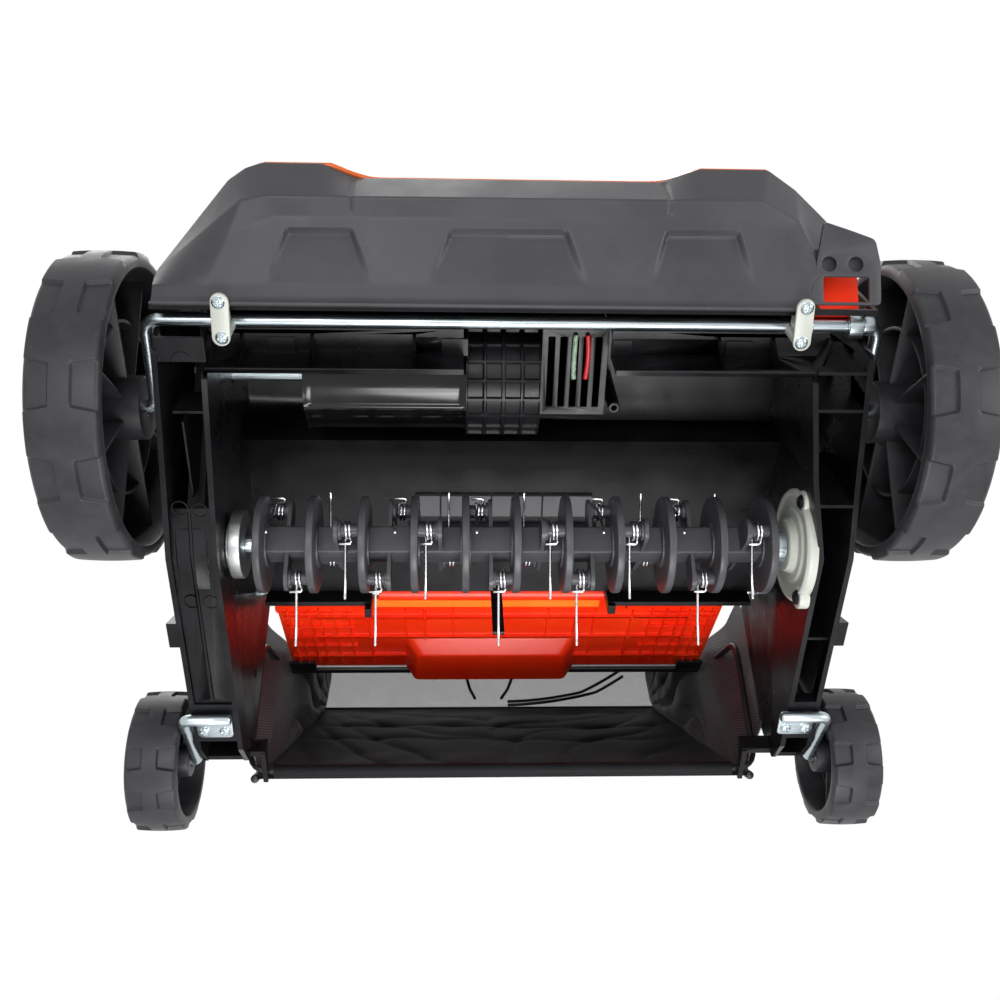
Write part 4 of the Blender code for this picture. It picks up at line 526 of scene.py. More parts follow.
@dataclass(frozen=True)
class WovenCloth(Finish):
    """Woven polyester: crossing threads that show as light and dark dots, with the yarn's soft sheen.

    The thread spacing is 0.5 mm on such bags and is drawn at thread_mm, because finer threads would
    not show. It follows the piece's own attribute, which holds the distance across and along in metres.
    """

    colour: str
    thread: str
    roughness: float
    thread_mm: float = 1.2
    sheen: float = 0.3
    height_mm: float = 0.12
    cover: float = 1.0
    shine: float = 0.5

    def draw(self, tree: Any, surface: Any) -> None:
        """Weave as the product of two sines of the distance across and along."""
        cloth = add_node(tree, "Attribute", attribute_name="cloth").outputs["Vector"]
        turns = [2 * math.pi * 1000 / self.thread_mm] * 3
        phase = add_node(tree, "VectorMath", {0: cloth, 1: turns}, operation="MULTIPLY").outputs[0]
        waves = add_node(tree, "VectorMath", {0: phase}, operation="SINE").outputs[0]
        across, along = add_node(tree, "SeparateXYZ", {0: waves}).outputs[:2]
        weave = add_node(tree, "Math", {0: across, 1: along}, operation="MULTIPLY").outputs[0]
        tone = add_node(tree, "MapRange", {"Value": weave, "From Min": -0.5, "From Max": 0.7}).outputs[0]
        place = add_node(tree, "TexCoord").outputs["Object"]
        worn = add_node(tree, "TexNoise", {"Vector": place, "Scale": 22.0, "Detail": 5.0}).outputs["Fac"]
        dusty = add_node(tree, "Math", {0: tone, 1: worn}, operation="MULTIPLY").outputs[0]
        tones = {0: dusty, 6: linear(self.colour), 7: linear(self.thread)}
        relief = {"Height": weave, "Strength": 0.8, "Distance": self.height_mm / 1000}
        fill(tree, surface, {
            "Base Color": add_node(tree, "Mix", tones, data_type="RGBA").outputs[2],
            "Normal": add_node(tree, "Bump", relief).outputs[0],
            "Roughness": self.roughness,
            "Sheen Weight": self.sheen,
            "Sheen Roughness": 0.4,
            "Alpha": self.cover,
            "Specular IOR Level": self.shine,
        })


# Polypropylene deck: satin black, near black in the cavity, with bright edges where a lamp catches them
DECK_BLACK = MouldedPlastic(
    "black_polypropylene_moulded", "black_plastic", "#0d0d0f", "#17171a", 0.32, shine=0.2
)
# Glass-filled housing with a polished tool: deep black with sharp highlights
MOTOR_BLACK = MouldedPlastic(
    "black_polyamide_polished", "gloss_black_plastic", "#060607", "#0b0b0c", 0.15, 0.04,
    grain_depth_mm=0.004, shine=0.35,
)
# Spark-eroded polypropylene: dry dark grey that keeps its tone at every angle
NOSE_GREY = MouldedPlastic(
    "charcoal_polypropylene_grained", "grey_plastic", "#38373b", "#403f43", 0.46, 0.08, 0.8, 0.04, 38.0,
    shine=0.35,
)
# Roller mouldings: dark grey with a satin face
ROLLER_GREY = MouldedPlastic(
    "dark_grey_polyamide_moulded", "grey_plastic", "#3e3e42", "#48484c", 0.38, shine=0.35
)
# Wheels: hard black tread and rim, a little dusty, with a broad satin highlight
WHEEL_BLACK = MouldedPlastic(
    "black_wheel_polypropylene", "black_plastic", "#27272a", "#333337", 0.45, 0.08, 1.1, 0.03, 16.0,
    shine=0.35,
)
# ABS cover: warm orange with a clear gloss
COVER_ORANGE = MouldedPlastic(
    "orange_abs_moulded", "orange_plastic", "#e2641d", "#e4691f", 0.26, 0.03, 0.6, 0.006, 80.0, 1.53
)
# Polypropylene flap, lever and switch parts: red-orange, slightly waxy
FLAP_RED = MouldedPlastic(
    "red_orange_polypropylene_moulded", "red_plastic", "#f02a0a", "#f23a12", 0.34, 0.05, 0.8, 0.012, 50.0,
    shine=0.35,
)
# The same material where it is thin, painted a lighter orange: a painted glow of the light that comes through
# it
FLAP_PAINTED_GLOW = MouldedPlastic(
    "orange_polypropylene_painted_glow", "orange_plastic", "#ff7a22", "#ff8630", 0.4, 0.05, 0.8, 0.01, 50.0, shine=0.3
)
# Natural polyamide: cream with a faint green tint, waxy
CREAM_NYLON = MouldedPlastic(
    "natural_polyamide_moulded", "cream_nylon", "#b6bab0", "#c1c4bc", 0.38, 0.06, 0.6, 0.01, 20.0, 1.53
)
# Blue-passivated zinc on turned steel: bright with a cold tint
ZINC = PlatedSteel("blue_passivated_zinc_steel", "zinc_steel", "#c4cdd1", "#a6b3b9", 0.3)
# Drawn spring wire: brighter and harder than the zinc
SPRING = PlatedSteel("drawn_spring_steel", "spring_steel", "#e6e6e8", "#c9cacd", 0.22, Axis.Z)
# Powder coat on steel tube: black with a fine orange peel
POWDER_BLACK = MouldedPlastic(
    "black_powder_coated_steel", "coated_steel", "#141416", "#1b1b1e", 0.36, 0.05, 1.4, 0.02, 40.0, shine=0.4
)
# Hem clip: extruded dark grey plastic, dull from handling
HEM_GREY = MouldedPlastic(
    "dark_grey_extruded_plastic", "grey_plastic", "#131315", "#1b1b1d", 0.6, 0.08, shine=0.1
)
# Ground bearing steel: pale and even, with a blurred reflection
BEARING_STEEL = PlatedSteel("ground_bearing_steel", "zinc_steel", "#c3c6c6", "#9c9fa0", 0.42)
# Rubber of the belt: deep black and dry
RUBBER = MouldedPlastic("black_neoprene_rubber", "black_rubber", "#121213", "#1c1c1d", 0.68, 0.06, shine=0.2)
# Bag cloth: coated black polyester, near black where it lies flat and shiny along its creases
BAG_CLOTH = WovenCloth(
    "black_coated_polyester", "bag_fabric", "#050506", "#101012", 0.38, 1.3, 0.05, shine=0.15
)
# Side panels: sheer speckled polyester, greyer than the floor, its pale specks painted light that stands for
# light showing through the sheer weave
SIDE_CLOTH_PAINTED_SPECKS = WovenCloth(
    "black_polyester_mesh_painted_specks", "bag_fabric", "#131315", "#7a7a80", 0.45, 3.0, 0.1, shine=0.3
)
# Rear window of the bag: see-through mesh whose light grey is painted backlight, standing for the white
# behind a dark mesh; its half cover lets real light through too
MESH_CLOTH_PAINTED_BACKLIGHT = WovenCloth(
    "polyester_mesh_painted_backlight", "bag_fabric", "#7d7e7d", "#cfd0ce", 0.6, 1.7, 0.2, cover=0.5
)
# Webbing and piping: black with a coarse twill
WEBBING = WovenCloth("black_polypropylene_webbing", "bag_fabric", "#0a0a0b", "#1d1d20", 0.5, 2.0, 0.05)
# Wire insulation of the motor leads
LEAD_RED = MouldedPlastic(
    "red_vinyl_insulation", "red_plastic", "#b3141c", "#bd2026", 0.4, grain_depth_mm=0.004
)
LEAD_GREEN = MouldedPlastic(
    "green_vinyl_insulation", "black_plastic", "#5d7d62", "#a5b3a4", 0.4, cloud_mm=3.0
)


# The bench on which finished shapes go into the frame

ROLLER_Y, ROLLER_Z = 0.088, 0.072


class Workshop:
    """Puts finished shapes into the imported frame."""

    def __init__(self) -> None:
        """Load the frame, and find how far its origin lies from the machine's own."""
        self.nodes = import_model()["nodes"]
        low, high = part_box("roller_shaft")
        self.datum = np.array((0.0, (low[1] + high[1]) / 2 - ROLLER_Y, 0.0))

    def finish_piece(
        self, piece: bpy.types.Object, finish: Finish, body: str, stands_for: Sequence[str], smooth: float
    ) -> bpy.types.Object:
        """Give a piece its material, its shading and its body.

        Args:
            piece: The object, at the origin.
            finish: Its finish.
            body: The body it rides on.
            stands_for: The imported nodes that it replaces.
            smooth: Angle in degrees above which an edge stays sharp.

        Returns:
            The piece.
        """
        piece.data.materials.clear()
        piece.data.materials.append(finish.material())
        piece.data.shade_smooth()
        piece.data.set_sharp_from_angle(angle=math.radians(smooth))
        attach(piece, body)
        if stands_for:
            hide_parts(*stands_for)
        LOG.info("%s: %d faces on %s", piece.name, len(piece.data.polygons), body)
        return piece

    def add(
        self,
        name: str,
        shape: Shape,
        finish: Finish,
        body: str,
        stands_for: Sequence[str] = (),
        *,
        wall: float = 0.0,
        facing: Sequence[float] | None = None,
        edge: float = 0.0,
        smooth: float = 32.0,
        cloth: Array | None = None,
    ) -> bpy.types.Object:
        """Make a piece from a surface.

        Args:
            name: Its name.
            shape: The surface, in the machine's own sizes.
            finish: Its finish.
            body: The body it rides on.
            stands_for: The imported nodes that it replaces.
            wall: Thickness that an open surface gets behind its faces.
            facing: Direction in which an open surface's faces look on the whole.
            edge: Radius given to sharp edges.
            smooth: Angle in degrees above which an edge stays sharp.
            cloth: For cloth, the distance across and along at each point.

        Returns:
            The piece.
        """
        mesh = bpy.data.meshes.new(name)
        faces = [face for group in shape.faces for face in group.tolist()]
        mesh.from_pydata((shape.points + self.datum).tolist(), [], faces)
        if cloth is not None:
            layer = mesh.attributes.new("cloth", "FLOAT_VECTOR", "POINT")
            layer.data.foreach_set("vector", np.column_stack((cloth, np.zeros(len(cloth)))).ravel())
        work = bmesh.new()
        work.from_mesh(mesh)
        bmesh.ops.remove_doubles(work, verts=work.verts, dist=1e-6)
        if wall == 0:
            bmesh.ops.recalc_face_normals(work, faces=work.faces)
        elif facing is not None:
            total = sum((face.normal * face.calc_area() for face in work.faces), Vector())
            if total.dot(Vector(facing)) < 0:
                bmesh.ops.reverse_faces(work, faces=work.faces)
        work.to_mesh(mesh)
        work.free()
        piece = new_object(name, mesh)
        if wall:
            solid = piece.modifiers.new("wall", "SOLIDIFY")
            solid.thickness, solid.offset, solid.use_quality_normals = wall, -1.0, True
        if edge:
            self.round_edges(piece, edge)
        return self.finish_piece(piece, finish, body, stands_for, smooth)

    def round_edges(self, piece: bpy.types.Object, radius: float, angle: float = 32.0) -> None:
        """Round a piece's sharp edges."""
        bevel = piece.modifiers.new("edges", "BEVEL")
        bevel.width, bevel.segments, bevel.limit_method = radius, 2, "ANGLE"
        bevel.angle_limit, bevel.harden_normals, bevel.use_clamp_overlap = math.radians(angle), True, True
        bevel.miter_outer = "MITER_ARC"

    def refine(
        self,
        node: str,
        finish: Finish,
        body: str,
        edge: float,
        smooth: float = 32.0,
        reshape: Callable[[bmesh.types.BMesh, Vector], None] | None = None,
    ) -> bpy.types.Object:
        """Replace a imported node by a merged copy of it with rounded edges.

        Args:
            node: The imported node.
            finish: Its finish.
            body: The body it rides on.
            edge: Radius given to sharp edges.
            smooth: Angle in degrees above which an edge stays sharp.
            reshape: Changes the merged mesh, which lies at the given distance from the machine's own zero.

        Returns:
            The piece.
        """
        mesh = self.nodes[node].data.copy()
        mesh.name = f"{node}_moulding"
        work = bmesh.new()
        work.from_mesh(mesh)
        bmesh.ops.remove_doubles(work, verts=work.verts, dist=2e-6)
        bmesh.ops.dissolve_limit(work, angle_limit=math.radians(0.6), verts=work.verts, edges=work.edges)
        if reshape is not None:
            reshape(work, Vector(self.datum))
        work.to_mesh(mesh)
        work.free()
        piece = new_object(mesh.name, mesh)
        if edge:
            self.round_edges(piece, edge)
        return self.finish_piece(piece, finish, body, (node,), smooth)

    def keep(self, node: str, finish: Finish) -> None:
        """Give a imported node, whose shape is right, its finish."""
        for slot in self.nodes[node].material_slots:
            slot.material = finish.material()
        LOG.info("%s: kept", node)


# Small parts


def screw_head(radius: float, height: float, cross: float = 0.62) -> Shape:
    """Pan head with a cross recess, seated on z = 0 with its axis along Z.

    The surface is z = height (1 - (r / radius)^4), lowered by 0.55 height inside a cross whose bars are
    `cross` of the radius long and 0.22 of it wide; below, it closes in a flat disc.
    """
    r = np.concatenate((np.linspace(0, 0.9, 13), (0.96, 1.0, 1.0, 0.0)))[:, None] * radius
    t = np.linspace(0, 2 * np.pi, 40, endpoint=False)
    x, y = r * np.cos(t), r * np.sin(t)
    dome = height * (1 - np.clip(r / radius, 0, 1) ** 4) + 0 * t
    near = np.minimum(np.abs(x), np.abs(y)) / (0.16 * radius)
    far = np.maximum(np.abs(x), np.abs(y)) / (cross * radius)
    dome = dome - 0.55 * height * smoothstep((1.25 - near) / 0.5) * smoothstep((1.08 - far) / 0.2)
    dome[-2:] = -0.2 * height
    dome[-3] = 0.12 * height
    return net(np.stack((x, y, dome), axis=-1), False, True)


# Sub-assemblies


@dataclass
class Nose:
    """Dark grey front fascia: raised shoulders, three pockets, a lower band, and the ear by the depth lever.

    Rows are given as (share of the half width, share of the nose's depth, share of its height).
    """

    half_width: float = 0.223
    front_y: float = -0.150
    wall_y: float = -0.076
    low_z: float = 0.0715
    top_z: float = 0.135
    setback: float = 0.0085
    wall: float = 0.0028
    step: float = 0.0013
    pocket_depth: float = 0.0052
    lower_edge: tuple = (
        (-0.982, 0.811, 0.150), (-0.841, 0.804, 0.150), (-0.762, 0.800, 0.150), (-0.673, 0.790, 0.150),
        (-0.534, 0.790, 0.150), (-0.439, 0.790, 0.150), (0.395, 0.785, 0.150), (0.498, 0.785, 0.150),
        (0.632, 0.785, 0.150), (0.717, 0.784, 0.150), (0.771, 0.777, 0.150), (0.803, 0.777, 0.150),
    )
    lower_crease: tuple = (
        (-0.996, 0.818, 0.417), (-0.782, 0.453, 0.394), (-0.717, 0.385, 0.433), (-0.656, 0.327, 0.477),
        (-0.534, 0.322, 0.477), (-0.439, 0.322, 0.477), (0.395, 0.310, 0.477), (0.498, 0.305, 0.477),
        (0.632, 0.301, 0.477), (0.735, 0.385, 0.449), (0.782, 0.595, 0.291), (0.810, 0.728, 0.185),
    )
    upper_crease: tuple = (
        (-0.998, 0.811, 0.638), (-0.747, 0.204, 0.515), (-0.709, 0.182, 0.515), (-0.673, 0.165, 0.515),
        (-0.534, 0.165, 0.515), (-0.439, 0.165, 0.515), (0.395, 0.157, 0.515), (0.498, 0.155, 0.515),
        (0.660, 0.153, 0.515), (0.774, 0.322, 0.515), (0.812, 0.541, 0.370), (0.832, 0.690, 0.220),
    )
    upper_edge: tuple = (
        (-0.998, 0.811, 1.0), (-0.802, 0.147, 1.0), (-0.752, 0.047, 1.0), (-0.705, 0.0, 1.0),
        (-0.540, 0.0, 1.0), (-0.446, 0.115, 1.0), (0.403, 0.115, 1.0), (0.511, 0.0, 1.0),
        (0.704, 0.0, 1.0), (0.790, 0.162, 1.0), (0.874, 0.372, 1.0), (0.897, 0.432, 1.0),
    )
    pockets: tuple = ((-0.539, 0.087, 0.150), (-0.027, 0.158, 0.222), (0.504, 0.100, 0.152))

    def rows(self) -> Array:
        """The six rows from the flange at the nose wall up to the edge under the cover, in metres."""
        size = np.array((self.half_width, self.wall_y - self.front_y, self.top_z - self.low_z))
        tables = (self.lower_edge, self.lower_crease, self.upper_crease, self.upper_edge)
        lower, crease, ridge, top = (
            np.array((0, self.front_y, self.low_z)) + np.array(t) * size for t in tables
        )
        top[np.array(self.upper_edge)[:, 1] == 0.115, 1] = self.front_y + self.setback
        flange = lower * (1, 0, 0) + (0, self.wall_y - 0.0035 - self.wall - 0.0005, self.low_z)
        return np.stack((flange, flange + (0, -0.001, 0.0035), lower, crease, ridge, top))

    def pocket_field(self, x: Array, v: Array, length: float) -> Array:
        """Depth share of the pockets.

        Each trapezoid's floor sinks in proportion to the distance above its lower edge. A bevel 3.2 mm
        wide closes it at the top, and bevels of 1.5 to 5.5 mm, wider downwards, at the sides.
        """
        along = np.clip(v - 2, 0, 1)[:, None] * length
        low, high = 0.0004, length - 0.0065
        middle, top_half, low_half = (np.array(c)[:, None, None] for c in zip(*self.pockets))
        up = np.clip((along - low) / (high - low), 0, 1)
        half = low_half + (top_half - low_half) * up
        inside = (half - np.abs(x / self.half_width - middle)) * self.half_width / (0.0055 - 0.0040 * up)
        inside = np.minimum(inside, (high - along) / 0.0032)
        return np.clip(inside, 0, 1).max(axis=0) * up

    def grooves(self, x: Array, v: Array) -> Array:
        """Depth of the short upright grooves where the shoulders start, a bell 1.3 mm wide."""
        share = smoothstep((v[:, None] - 3.1) / 0.3) * smoothstep((5.0 - v[:, None]) / 0.25)
        near = np.exp(-(((np.abs(x / self.half_width + 0.021) - 0.434) * self.half_width / 0.0013) ** 2))
        return 0.0012 * share * near

    def surface(self) -> Shape:
        """Rows filled in, softened at the creases, and sunk along the slope's normal in the pockets."""
        rows = self.rows()
        v, u = stops(rows, self.step), stops(rows.swapaxes(0, 1), self.step)
        fine = softened(between(between(rows, v).swapaxes(0, 1), u).swapaxes(0, 1), 2)
        slope = rows[3, 5] - rows[2, 5]
        length = float(np.hypot(slope[1], slope[2]))
        inward = np.array((0, slope[2], -slope[1])) / length
        depth = self.pocket_field(fine[..., 0], v, length) * self.pocket_depth
        return net(
            fine + depth[..., None] * inward + self.grooves(fine[..., 0], v)[..., None] * (0, 0.7, 0.7)
        )

    def ear(self) -> Shape:
        """Sloping plate with the lever's window and two round holes, and a dark sheet behind the holes that
        is painted shade, standing for the shadow seen through them.
        """
        inner, outer, long = 0.803 * self.half_width - 0.0015, self.half_width - 0.0005, 0.045
        outline = [
            (inner, 0.0006), (outer, 0.0006), (outer, long * 0.60), (outer - 0.0030, long * 0.92),
            (inner + 0.028, long * 1.03), (inner + 0.010, long * 1.16), (inner + 0.004, long * 0.45),
        ]
        window = [(0.1868, 0.0024), (0.2152, 0.0024), (0.2152, 0.018), (0.1868, 0.018)]
        holes = [circle(x, long * 0.575, 0.0046, 28) for x in (0.1905, 0.2070)]
        plate = cut_plate([eased(outline, 0.003), eased(window, 0.0012), *holes], self.wall, 0.0006)
        # Dark sheet behind the holes: painted shade where only shadow shows through them.
        shade_sheet = block(0.1835, 0.2200, long * 0.48, long * 0.80, -self.wall - 0.0034, -self.wall - 0.0022)
        return (plate.shifted(z=-self.wall / 2) + shade_sheet).placed(lean(180.0 - 32.4, -0.083, 0.0758))

    def build(self, shop: Workshop) -> None:
        """Make the fascia and its ear."""
        shop.add(
            "nose_fascia", self.surface(), NOSE_GREY, "chassis", ("front_fascia",),
            wall=self.wall, facing=(0, -0.6, -0.8), smooth=50,
        )
        shop.add("nose_ear", self.ear(), NOSE_GREY, "chassis")


@dataclass
class Cover:
    """Orange cover over the motor: a shell that rises from the nose's edge to a flat crown."""

    half: float = 0.200
    front_y: float = -0.150
    setback: float = 0.0085
    rear_y: float = 0.134
    nose_z: float = 0.1371
    deck_z: float = 0.1856
    crown_z: float = 0.236
    wall: float = 0.003
    step: float = 0.005

    def rings(self) -> Array:
        """Outlines from the lower edge to the crown, and two that close it, each ending where it starts."""
        h, front, rear = self.half, self.front_y, self.rear_y
        side = [
            (
                h * 0.465, front + self.setback
            ), (h * 0.575, front), (h * 0.780, front), (h * 0.880, front + 0.012),
            (h, front + 0.036), (h, -0.0835), (h, -0.059), (h, rear * 0.45), (h * 0.94, rear),
        ]
        x, y = np.array(side + [(-a, b) for a, b in side[::-1]] + side[:1]).T
        nose = y < -0.0795
        over_nose, over_deck = self.crown_z - self.nose_z, self.crown_z - self.deck_z
        rings = []
        for across, along, nose_rise, deck_rise in (
            (1.0, 1.0, 0.0, 0.0), (0.998, 0.995, 0.004, 0.003), (0.985, 0.945, 0.030, 0.012),
            (0.945, 0.87, 0.066, 0.030), (0.86, 0.75, 0.0905, 0.0460), (0.80, 0.68, over_nose, over_deck),
            (0.45, 0.40, over_nose + 0.0006, over_deck + 0.0006),
            (0.0, 0.0, over_nose + 0.0006, over_deck + 0.0006),
        ):
            height = np.where(nose, self.nose_z + nose_rise, self.deck_z + deck_rise)
            rings.append(np.stack((x * across, y * along, height), axis=1))
        return np.stack(rings)

    def surface(self) -> Shape:
        """Rings filled in straight between their points and softened, apart from the lower edge."""
        rings = self.rings()
        v, u = stops(rings, self.step), stops(rings.swapaxes(0, 1), self.step)
        fine = between(between(rings, v).swapaxes(0, 1), u[:-1]).swapaxes(0, 1)
        lower = fine[:1].copy()
        fine = softened(fine, 5, wrap_columns=True)
        fine[:1] = lower
        fine[-1] = fine[-1].mean(axis=0)
        return net(fine, False, True)

    def build(self, shop: Workshop) -> None:
        """Make the cover."""
        shop.add(
            "motor_cover", self.surface(), COVER_ORANGE, "chassis", ("top_cover",),
            wall=self.wall, facing=(0, 0, 1), smooth=60,
        )


@dataclass
class Deck:
    """Black deck with its fins, bosses, pads, fan inlet and roof panel."""

    shelf_z: float = 0.0965
    cover_front: float = 0.045
    rim_line: tuple = ((-0.0800, 0.0784), (-0.0523, 0.0712), (0.0265, 0.0507), (0.0765, 0.0360))
    cross_ribs: tuple = ((-0.0300, -0.0413), (-0.0040, -0.0183), (0.0680, 0.0420), (0.1650, 0.1460))
    channel_line: tuple = ((-0.0415, -0.0150), (0.0265, -0.0080), (0.0765, 0.0))

    def build(self, shop: Workshop) -> None:
        """Make the deck and the small features under it."""
        shop.refine("deck_housing", DECK_BLACK, "chassis", 0.0006, reshape=self.lift_rim)
        for name, shape, finish, edge in (
            ("channel_plate", self.channel_plate(), DECK_BLACK, 0.0004),
            ("deck_pads", self.pads(), DECK_BLACK, 0.0003),
            ("deck_bosses", self.bosses(), DECK_BLACK, 0.0003),
            ("roof_panel", self.roof_panel(), ROLLER_GREY, 0.0004),
            ("throat_lips", self.throat_lips(), DECK_BLACK, 0.0005),
            ("deck_fins", self.fins(), DECK_BLACK, 0.0003),
        ):
            shop.add(name, shape, finish, "chassis", edge=edge)
        shop.refine("belt_cover", DECK_BLACK, "chassis", 0.0004, reshape=self.lift_cover)
        shop.add("belt_cover_marks", self.marks(), DECK_BLACK, "chassis", edge=0.0002)
        shop.keep("drive_belt", RUBBER)
        shop.keep("roller_pulley", DECK_BLACK)

    def raise_to(self, work: bmesh.types.BMesh, datum: Vector, above: float) -> None:
        """Raise what lies below the rim's line, z over y, after cutting the mesh at the line's corners."""
        y_line, z_line = np.array(self.rim_line).T
        for y in y_line[1:]:
            whole = [*work.verts, *work.edges, *work.faces]
            bmesh.ops.bisect_plane(work, geom=whole, plane_co=(0, y + datum.y, 0), plane_no=(0, 1, 0))
        for vert in work.verts:
            line = float(np.interp(vert.co.y - datum.y, y_line, z_line)) + above
            if vert.co.y - datum.y < y_line[-1] and vert.co.z < line:
                vert.co.z = line

    def lift_rim(self, work: bmesh.types.BMesh, datum: Vector) -> None:
        """Let the lower rim rise towards the front, space the right channel's ribs, and widen its mouth."""
        for vert in work.verts:
            for here, there in self.cross_ribs:
                if 0.2030 < vert.co.x < 0.2200 and abs(vert.co.y - datum.y - here) < 0.0015:
                    vert.co.y += there - here
                    break
        self.raise_to(work, datum, 0.0)
        y_line, shift = np.array(self.channel_line).T
        for vert in work.verts:
            if 0.1990 < vert.co.x < 0.2040 and vert.co.z < 0.0900:
                vert.co.x += float(np.interp(vert.co.y - datum.y, y_line, shift))

    def lift_cover(self, work: bmesh.types.BMesh, datum: Vector) -> None:
        """Let the belt cover follow the rim and start behind the open cell."""
        self.raise_to(work, datum, 0.0018)
        whole = [*work.verts, *work.edges, *work.faces]
        made = bmesh.ops.bisect_plane(
            work, geom=whole, plane_co=(
                0, self.cover_front + datum.y, 0
            ), plane_no=(0, -1, 0), clear_outer=True
        )
        bmesh.ops.holes_fill(work, edges=[e for e in made["geom_cut"] if isinstance(e, bmesh.types.BMEdge)])

    def channel_plate(self) -> Shape:
        """Plate across the front of the left side channel, with a half-round step, and two fins behind it."""
        step = prism(arc(-0.2055, -0.0445, 0.0065, 180, 360, 16), 0.0712, 0.0735, Axis.Z)
        return step + blocks((
            (-0.2215, -0.1905, -0.0600, -0.0440, 0.0720, 0.0750),
            (-0.2070, -0.2055, -0.0100, 0.0440, 0.0585, 0.1000),
            (-0.2150, -0.1905, -0.0120, -0.0100, 0.0700, 0.1000),
        ))

    def pads(self) -> Shape:
        """Square sink pads under the shelf in front of the roller."""
        spans = ((-0.157, -0.139), (-0.047, -0.030), (0.0626, 0.0748), (0.135, 0.1524))
        z = self.shelf_z
        return blocks((a, b, -0.0515, -0.0400, z - 0.0012, z + 0.002) for a, b in spans)

    def bosses(self) -> Shape:
        """Hollow screw posts beside the grille."""
        post = turned([(0, 0.0016), (0, 0.0042), (0.056, 0.0050), (0.056, 0.0016)], 0, 0, 28, 0.0005, 2)
        spots = ((0.0198, -0.0129, 0.1245), (0.0713, 0.0099, 0.1245))
        return joined(post.placed(posed(spot, -90, "Y")) for spot in spots)

    def roof_panel(self) -> Shape:
        """Grey panel under the roller roof: seven plates in a row, with a ledge behind them."""
        start, pitch, gap = -0.0686, 0.0192, 0.0004
        plates = blocks(
            (start + pitch * k + gap, start + pitch * (k + 1) - gap, 0.0965, 0.1145, 0.1525, 0.157)
            for k in range(7)
        )
        return plates + block(-0.074, 0.070, 0.1225, 0.1245, 0.1500, 0.157)

    def throat_lips(self) -> Shape:
        """Two bars in front of the flap's hinge, tongues at their inner ends, and a prong in the middle."""
        prong = eased([(0.1870, 0.181), (0.1905, 0.181), (0.1862, 0.0985), (0.1822, 0.0985)], 0.0018)
        return prism(prong, -0.0100, -0.0012) + blocks((
            (-0.1865, -0.1045, 0.1865, 0.1905, 0.1422, 0.181),
            (0.0822, 0.1965, 0.1865, 0.1905, 0.1418, 0.181),
            (-0.1085, -0.1035, 0.1870, 0.1950, 0.1330, 0.181),
            (0.0820, 0.0880, 0.1870, 0.1950, 0.1372, 0.181),
        ))

    def fins(self) -> Shape:
        """Small fins on the outer walls beside the roller."""
        return both_sides(prism([(0.128, 0.0365), (0.148, 0.0365), (0.136, 0.058)], 0.2225, 0.2300))

    def marks(self) -> Shape:
        """Ejector rings on the belt cover."""
        ring = turned(ring_section(0, 0.0012, 0.0046, 0.0052), 0, 0, 28)
        spots = ((-0.2095, 0.0393), (-0.1975, 0.0407), (-0.2110, 0.1111), (-0.1985, 0.1112))
        return joined(ring.placed(posed((x, y, 0.0372), -90, "Y")) for x, y in spots)


@dataclass
class FrontAxle:
    """Cranked rod with its collar, the two clamps that hold it, and the depth lever."""

    pivot: tuple[float, float] = (-0.064, 0.092)
    radius: float = 0.004
    arm_x: float = 0.230
    hub_x: float = 0.2335
    stub_x: float = 0.2755
    wheel_radius: float = 0.100
    clamp_x: tuple[float, float] = (-0.1782, 0.1741)
    clamp_y: float = -0.0728
    clamp_z: float = 0.0694
    clamp_reach: float = 0.0111

    def rod(self) -> Shape:
        """Rod bent twice on each side."""
        y, z = self.pivot
        half = [(self.stub_x, 0, self.wheel_radius), (self.hub_x, 0, self.wheel_radius), (self.arm_x, y, z)]
        corners = np.array([(-x, a, b) for x, a, b in half] + half[::-1])
        path = bent(corners, 0.010, 10)
        return rod(path, self.radius, (0, -z, y), 24)

    def clamp(self, x: float, tilt: float) -> Shape:
        """Flat strip with round ends below the rod, raised over it, on two posts."""
        half, reach, drop = 0.0055, self.clamp_reach, self.clamp_z
        ends = np.vstack((arc(0, reach, half, 0, 180, 12), arc(0, -reach, half, 180, 360, 12)))
        strip = cut_plate([ends], 0.0028, 0.0007).placed(posed((0, 0, 0), tilt, "Z"))
        web = block(-0.0022, 0.0022, -0.0050, 0.0062, 0.001, self.pivot[1] - self.radius - drop - 0.0005)
        posts = joined(
            turned(ring_section(0, long, 0.0001, 0.0042), 0, 0, 24, 0.0001, 1)
            .placed(posed((0, side * reach, 0.0005), -90, "Y"))
            for side, long in ((-1, 0.0040), (1, 0.0963 - drop))
        )
        return (strip + web + posts).shifted(x, self.clamp_y, drop)

    def screws(self) -> Shape:
        """Pan heads in the clamps' ends."""
        head = screw_head(0.0041, 0.0022)
        return joined(
            head.placed(posed((x, self.clamp_y + side * self.clamp_reach, self.clamp_z - 0.0013), 180))
            for x in self.clamp_x
            for side in (-1, 1)
        )

    def collar(self) -> Shape:
        """Washer and sleeve on the rod beside the lever, and the band round the lever's eye."""
        rows = (
            (0.1838, 0.1862, 0.0076, 32, 0.0004), (0.2190, 0.2262, 0.0062, 32, 0.0006),
            (0.2094, 0.2186, 0.0083, 40, 0.0006),
        )
        bore = self.radius + 0.0001
        return joined(
            turned(
                ring_section(x0, x1, bore, radius), *self.pivot, sides, ease
            ) for x0, x1, radius, sides, ease in rows
        )

    def build(self, shop: Workshop) -> None:
        """Make the rod, the clamps with their screws, and the lever."""
        shop.add("front_axle_rod", self.rod(), ZINC, "front_axle", ("front_axle",), smooth=50)
        shop.add("axle_collar", self.collar(), ZINC, "front_axle")
        for node, x, tilt in zip(("axle_clamp_left", "axle_clamp_right"), self.clamp_x, (3.0, -3.0)):
            shop.add(f"{node}_strip", self.clamp(x, tilt), CREAM_NYLON, "chassis", (node,), smooth=40)
        shop.add("clamp_screws", self.screws(), ZINC, "chassis", smooth=50)
        shop.refine("depth_lever", FLAP_RED, "front_axle", 0.0008)


